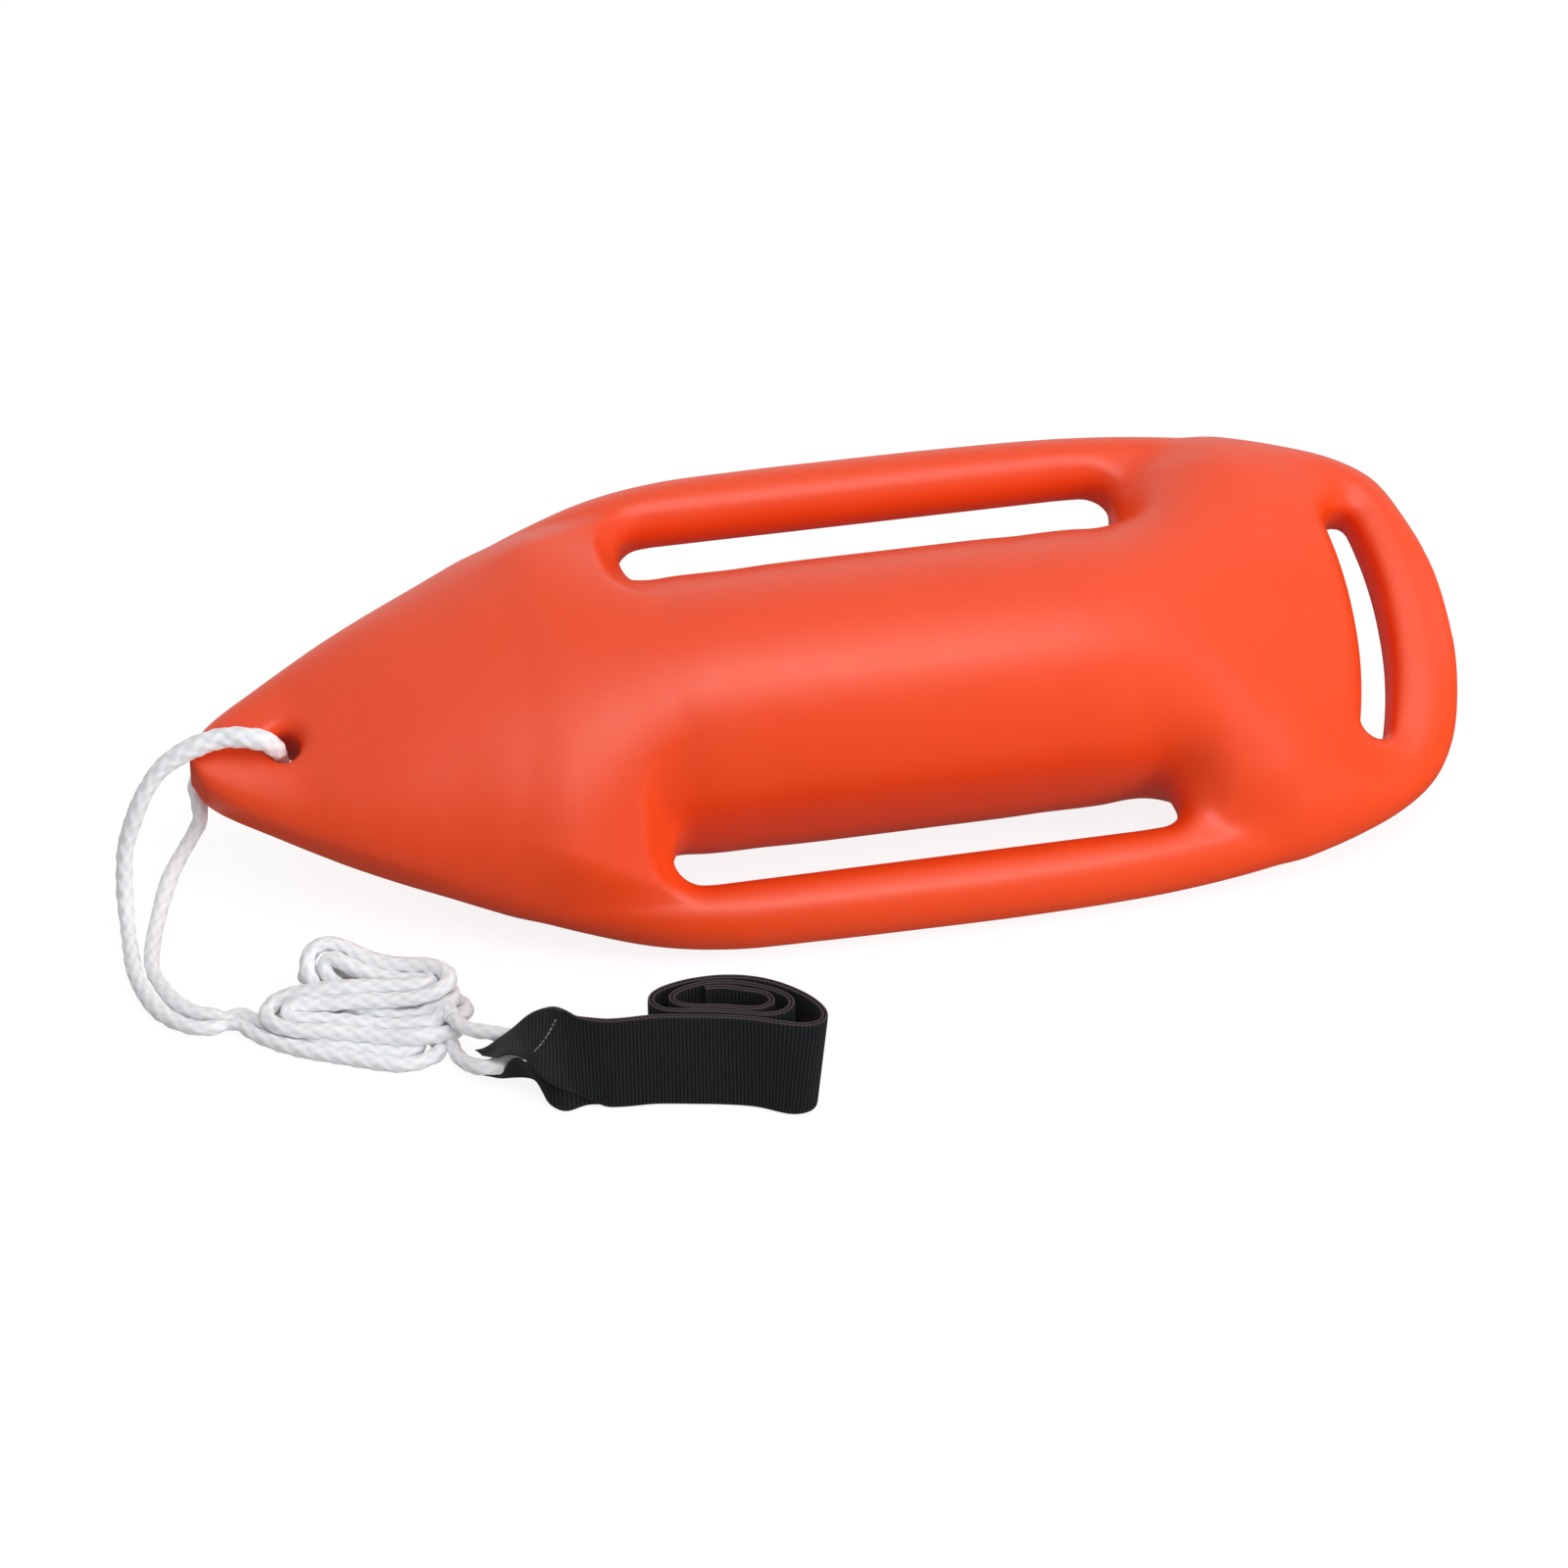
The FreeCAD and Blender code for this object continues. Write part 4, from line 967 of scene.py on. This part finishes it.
def build_belt():
    """Eye loop, hinge and roll; returns the front layer for the stitches."""
    upper, lower, run = strip_edges(FRONT, -1.0)
    hem_at = run[row_at((upper + lower) / 2, HEM_X)]
    front = webbing(upper, lower, run,
                    hem=HEM_THICKNESS * (1 - ramp(run, hem_at - 0.4, hem_at + 0.4)),
                    bow=3.0 * (1 - ramp(run, 0, 26)))
    rear = webbing(*strip_edges(REAR, +1.0))
    layers = (front, rear)
    starts = [row_at(layer.middle, HINGE_X[0]) for layer in layers]
    ends = [row_at(layer.middle, HINGE_X[1], among=500) for layer in layers]

    eye = web_mesh("belt_eye_loop",
                   [(layer, slice(0, start + 1)) for layer, start in zip(layers, starts)])
    hand_over(eye, "eye", "belt_eye")
    hinge = web_mesh("belt_hinge", [(layer, slice(start, end + 1))
                                    for layer, start, end in zip(layers, starts, ends)])
    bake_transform(hinge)
    roll = web_mesh("belt_roll", [(layer, slice(end, None)) for layer, end in zip(layers, ends)])
    hand_over(roll, "belt", "belt_coil")
    return front


def build_stitches(layer):
    """Nine raised stitches of thread in a slanting row across the sewn-down end."""
    count, half_length, radius, lift = 9, 1.1, 0.58, 0.12
    rows, around = 9, 10
    columns = layer.rings[:, len(WEB_STATIONS):][:, ::-1]       # the face with the hem
    first, last = row_at(layer.middle, -192.0), row_at(layer.middle, -201.5)

    def place(share):
        """Point and outward normal at a share of the way along the row of stitches."""
        row, v = first + (last - first) * share, 0.17 + 0.5 * share
        i = int(row)
        u = row - i
        ring = columns[i] * (1 - u) + columns[i + 1] * u
        point = np.array([np.interp(v, WEB_STATIONS[1:-1], ring[:, k]) for k in range(3)])
        normal = np.cross(columns[i, 9] - columns[i, 5], columns[i + 2, 7] - columns[i - 2, 7])
        return point, normal / np.linalg.norm(normal)

    verts, faces = [], []
    for k in range(count):
        share = k / (count - 1)
        point, normal = place(share)
        along = place(share + 0.01)[0] - point if share < 1 else point - place(0.99)[0]
        along /= np.linalg.norm(along)
        side = np.cross(normal, along)
        faces += capped_tube(rows, around, len(verts))
        for i in range(rows):
            a = math.pi * i / (rows - 1)
            reach = radius * max(0.02, math.sin(a)) ** 0.6
            for j in range(around):
                t = 2 * math.pi * j / around
                verts.append(point - along * math.cos(a) * half_length
                             + side * reach * math.cos(t)
                             + normal * (reach * math.sin(t) + lift))
    stitches = make_mesh("belt_stitch_thread", to_row(np.array(verts)), faces, THREAD)
    hand_over(stitches, "eye", "belt_stitches")


# ================================================================ MATERIALS
def srgb(*channels):
    """Linear colour from 0-255 sRGB channels."""
    def linear(c):
        c /= 255.0
        return c / 12.92 if c <= 0.04045 else ((c + 0.055) / 1.055) ** 2.4
    return (*map(linear, channels), 1.0)


def node(tree, kind, **properties):
    new = tree.nodes.new(kind)
    for name, value in properties.items():
        setattr(new, name, value)
    return new


def feed(tree, target, values):
    """Set or link a node's inputs, given by name or number."""
    for key, value in values.items():
        if isinstance(value, bpy.types.NodeSocket):
            tree.links.new(value, target.inputs[key])
        else:
            target.inputs[key].default_value = value


def node_material(name):
    material = bpy.data.materials.new(name)
    material.use_nodes = True
    tree = material.node_tree
    tree.nodes.clear()
    output = node(tree, "ShaderNodeOutputMaterial")
    shader = node(tree, "ShaderNodeBsdfPrincipled")
    tree.links.new(shader.outputs[0], output.inputs[0])
    return material, tree, shader


def mix(tree, factor, first, second, data_type="RGBA"):
    first_input, second_input, output = {"RGBA": (6, 7, 2), "FLOAT": (2, 3, 0)}[data_type]
    new = node(tree, "ShaderNodeMix", data_type=data_type)
    feed(tree, new, {0: factor, first_input: first, second_input: second})
    return new.outputs[output]


def calculate(tree, operation, first, second):
    new = node(tree, "ShaderNodeMath", operation=operation)
    feed(tree, new, {0: first, 1: second})
    return new.outputs[0]


def map_range(tree, value, source=(0.0, 1.0), result=(0.0, 1.0), interpolation="LINEAR"):
    new = node(tree, "ShaderNodeMapRange", interpolation_type=interpolation)
    feed(tree, new, {0: value, 1: source[0], 2: source[1], 3: result[0], 4: result[1]})
    return new.outputs[0]


def noise(tree, vector, scale, detail=2.0, roughness=0.5):
    new = node(tree, "ShaderNodeTexNoise")
    feed(tree, new, {"Scale": scale, "Detail": detail, "Roughness": roughness,
                     "Vector": vector})
    return new.outputs["Fac"]


def attribute(tree, name):
    return node(tree, "ShaderNodeAttribute", attribute_name=name).outputs["Fac"]


def object_coords(tree, scale=(1, 1, 1)):
    coords = node(tree, "ShaderNodeTexCoord")
    mapping = node(tree, "ShaderNodeMapping")
    feed(tree, mapping, {"Scale": scale, "Vector": coords.outputs["Object"]})
    return mapping.outputs["Vector"]


def add_bump(tree, shader, height, strength, distance):
    bump = node(tree, "ShaderNodeBump")
    feed(tree, bump, {"Strength": strength, "Distance": distance, "Height": height})
    tree.links.new(bump.outputs[0], shader.inputs["Normal"])


def plastic_material():
    """Orange with faint patches and specks; ribbed grain on the belly band, pits all over."""
    material, tree, shader = node_material("orange_polyethylene")
    coords = object_coords(tree)
    patches = noise(tree, coords, scale=9.0, detail=3.0, roughness=0.55)
    grain = noise(tree, coords, scale=900.0, detail=2.0, roughness=0.6)
    base = mix(tree, patches, srgb(234, 66, 14), srgb(239, 75, 21))
    specks = map_range(tree, grain, source=(0.3, 0.7))
    colour = mix(tree, calculate(tree, "MULTIPLY", specks, 0.16), base, srgb(216, 52, 12))
    gloss = noise(tree, coords, scale=34.0, detail=4.0, roughness=0.6)
    shader.inputs["Roughness"].default_value = 0.47     # stands in if the link is taken off
    feed(tree, shader, {
        "Base Color": colour,
        "Roughness": map_range(tree, gloss, result=(0.36, 0.48)),
        "IOR": 1.5,
        "Subsurface Weight": 0.12,
        "Subsurface Radius": (0.006, 0.002, 0.001),
        "Subsurface Scale": 0.6})
    band = attribute(tree, "band")
    wave = node(tree, "ShaderNodeTexWave", wave_type="BANDS", bands_direction="X")
    feed(tree, wave, {"Scale": 240.0, "Distortion": 1.2, "Detail": 2.0, "Detail Scale": 2.0,
                      "Vector": coords})
    ribs = calculate(tree, "MULTIPLY", wave.outputs["Fac"], 0.6)
    ribs = calculate(tree, "MULTIPLY", ribs, band)
    height = calculate(tree, "ADD", ribs, calculate(tree, "MULTIPLY", grain, 0.5))
    pits = noise(tree, coords, scale=260.0, detail=1.0)
    pits = map_range(tree, pits, source=(0.2, 0.27))
    height = calculate(tree, "ADD", height, calculate(tree, "MULTIPLY", pits, 0.8))
    add_bump(tree, shader, height, strength=0.32, distance=0.00022)
    return material


def line_material():
    """White fibre with painted shade, greyer between the strands, and a hairy surface."""
    material, tree, shader = node_material("white_line_fibre")
    coords = object_coords(tree)
    # painted shade: the fibre is greyer where the strands dip below their neighbours
    raised = map_range(tree, attribute(tree, "strand"), source=(-1.4, 0.6))
    colour = mix(tree, raised, srgb(224, 227, 234), srgb(251, 252, 253))
    patches = calculate(tree, "MULTIPLY", noise(tree, coords, scale=70.0), 0.3)
    feed(tree, shader, {
        "Base Color": mix(tree, patches, colour, srgb(242, 243, 248)),
        "Roughness": 0.62,
        "Subsurface Weight": 0.3,
        "Subsurface Radius": (0.003, 0.003, 0.003),
        "Sheen Weight": 0.25})
    hairs = noise(tree, object_coords(tree, scale=(500, 500, 500)),
                  scale=2.2, detail=4.0, roughness=0.7)
    add_bump(tree, shader, hairs, strength=0.5, distance=0.0004)
    return material


def webbing_material():
    """Black weave, with painted shade darker between the ribs, and brownish along the selvedges.
    """
    material, tree, shader = node_material("black_webbing")
    coords = object_coords(tree)
    from_edge = attribute(tree, "edge")
    weave = noise(tree, coords, scale=420.0, detail=3.0, roughness=0.65)
    base = mix(tree, weave, srgb(18, 21, 24), srgb(42, 45, 47))
    # painted shade: the grooves between the ribs are darkened almost to black
    groove_shade = map_range(tree, attribute(tree, "rib"), source=(-0.6, 0.6), result=(0.97, 0.0))
    base = mix(tree, groove_shade, base, srgb(2, 3, 4))
    selvedge = map_range(tree, from_edge, source=(0.0, 0.4), result=(1.0, 0.0))
    selvedge = calculate(tree, "MULTIPLY", selvedge, 0.6)
    feed(tree, shader, {
        "Base Color": mix(tree, selvedge, base, srgb(66, 48, 48)),
        "Roughness": 0.58,
        "Specular IOR Level": 0.3,
        "Sheen Weight": 0.08})
    warp = noise(tree, object_coords(tree, scale=(1, 1, 900)), scale=3.0)
    add_bump(tree, shader, calculate(tree, "ADD", warp, weave),
             strength=0.45, distance=0.00025)
    return material


def mottled_material(name, dark, light, scale, detail, roughness):
    """Two greys mixed by a fine noise."""
    material, tree, shader = node_material(name)
    mottle = noise(tree, object_coords(tree), scale=scale, detail=detail, roughness=0.6)
    feed(tree, shader, {"Base Color": mix(tree, mottle, dark, light), "Roughness": roughness})
    return material


def floor_material():
    """Pale paper: mostly its own glow to the camera, with a little shading."""
    material, tree, shader = node_material("pale_floor")
    patches = noise(tree, object_coords(tree), scale=3.0)
    to_camera = node(tree, "ShaderNodeLightPath").outputs["Is Camera Ray"]
    glow = calculate(tree, "ADD", calculate(tree, "MULTIPLY", to_camera, 0.60), 0.26)
    feed(tree, shader, {
        "Base Color": mix(tree, patches, (0.21, 0.21, 0.21, 1), (0.22, 0.22, 0.22, 1)),
        "Roughness": 0.95,
        "Specular IOR Level": 0.0,
        "Emission Color": (1, 1, 1, 1),
        "Emission Strength": glow})
    return material


ORANGE = plastic_material()
WHITE = line_material()
BLACK = webbing_material()
THREAD = mottled_material("grey_thread", srgb(84, 86, 88), srgb(128, 130, 132),
                          scale=1500.0, detail=2.0, roughness=0.6)
PLUG = mottled_material("dark_plug_plastic", srgb(30, 30, 32), srgb(52, 52, 54),
                        scale=600.0, detail=3.0, roughness=0.5)

build_hull()
build_vent_plug()
build_line()
front_layer = build_belt()
build_stitches(front_layer)


# ================================================================ CAMERA, LIGHTS, FLOOR, WORLD
def add_camera(elevation, heading, roll, distance, shift_right, shift_up):
    """Looks down towards +y; angles in degrees, lengths in mm from the hull's centre."""
    elevation, heading, roll = map(math.radians, (elevation, heading, roll))
    vertical = np.array([0, 0, 1])
    level_right = np.array([math.cos(heading), -math.sin(heading), 0])
    level_ahead = np.array([math.sin(heading), math.cos(heading), 0])
    ahead = level_ahead * math.cos(elevation) - vertical * math.sin(elevation)
    level_up = level_ahead * math.sin(elevation) + vertical * math.cos(elevation)
    right = math.cos(roll) * level_right + math.sin(roll) * level_up
    up = -math.sin(roll) * level_right + math.cos(roll) * level_up
    place = to_row(right * shift_right + up * shift_up - ahead * distance)

    data = bpy.data.cameras.new("camera")
    data.lens = 100.0
    data.sensor_width = 36.0
    data.sensor_fit = "AUTO"
    data.clip_end = 50
    camera = bpy.data.objects.new("camera", data)
    scene.collection.objects.link(camera)
    rows = [(right[k], up[k], -ahead[k], place[k]) for k in range(3)]
    camera.matrix_world = Matrix((*rows, (0, 0, 0, 1)))
    scene.camera = camera


def area_light(name, place, target, width, height, power):
    data = bpy.data.lights.new(name, "AREA")
    data.energy = power
    data.shape = "RECTANGLE"
    data.size = width
    data.size_y = height
    light = bpy.data.objects.new(name, data)
    scene.collection.objects.link(light)
    light.location = place
    aim = Vector(target) - Vector(place)
    light.rotation_euler = aim.to_track_quat("-Z", "Y").to_euler()
    return light


def add_lights():
    """Places in metres. Two lights are kept out of reflections; gloss is only seen in them."""
    area_light("key", place=(0.15, -0.6, 1.8), target=(0.0, 0.0, 0.05),
               width=1.6, height=1.0, power=12.4)
    rim = area_light("rim", place=(-0.3, 1.5, 1.0), target=(0.0, 0.0, 0.05),
                     width=1.2, height=0.5, power=3.0)
    front = area_light("front", place=(1.45, -1.55, 0.7), target=(0.05, 0.0, 0.05),
                       width=1.5, height=1.0, power=29.0)
    front.visible_glossy = False
    rim.visible_glossy = False
    gloss = area_light("gloss", place=(0.1, -0.95, 1.65), target=(0.0, 0.0, 0.08),
                       width=1.5, height=0.45, power=8.6)
    gloss.visible_diffuse = False


def add_floor():
    half, z = 6, -0.0004                    # metres; just under the ground, clear of the pieces
    corners = [(-half, -half, z), (half, -half, z), (half, half, z), (-half, half, z)]
    floor = make_mesh("floor", corners, [(0, 1, 2, 3)], floor_material(), smooth=False)
    floor.visible_glossy = False


def add_world():
    """White to the camera, even to diffuse light, brightest up and behind in reflections."""
    world = bpy.data.worlds.new("studio")
    scene.world = world
    world.use_nodes = True
    tree = world.node_tree
    rays = node(tree, "ShaderNodeLightPath").outputs
    coords = node(tree, "ShaderNodeTexCoord")
    facing = node(tree, "ShaderNodeVectorMath", operation="DOT_PRODUCT")
    feed(tree, facing, {0: coords.outputs["Generated"], 1: (0.0, 0.66, 0.75)})
    reflected = map_range(tree, facing.outputs["Value"], source=(0.05, 0.85),
                          result=(0.12, 1.25), interpolation="SMOOTHSTEP")
    lit = mix(tree, rays["Is Glossy Ray"], 0.45, reflected, data_type="FLOAT")
    strength = mix(tree, rays["Is Camera Ray"], lit, 1.0, data_type="FLOAT")
    feed(tree, tree.nodes["Background"], {0: (1, 1, 1, 1), 1: strength})


add_camera(elevation=37, heading=11.29, roll=-0.23, distance=2451.7,
           shift_right=-26.36, shift_up=-50.19)
add_lights()
add_floor()
add_world()
scene.view_settings.view_transform = "Standard"
scene.view_settings.look = "None"
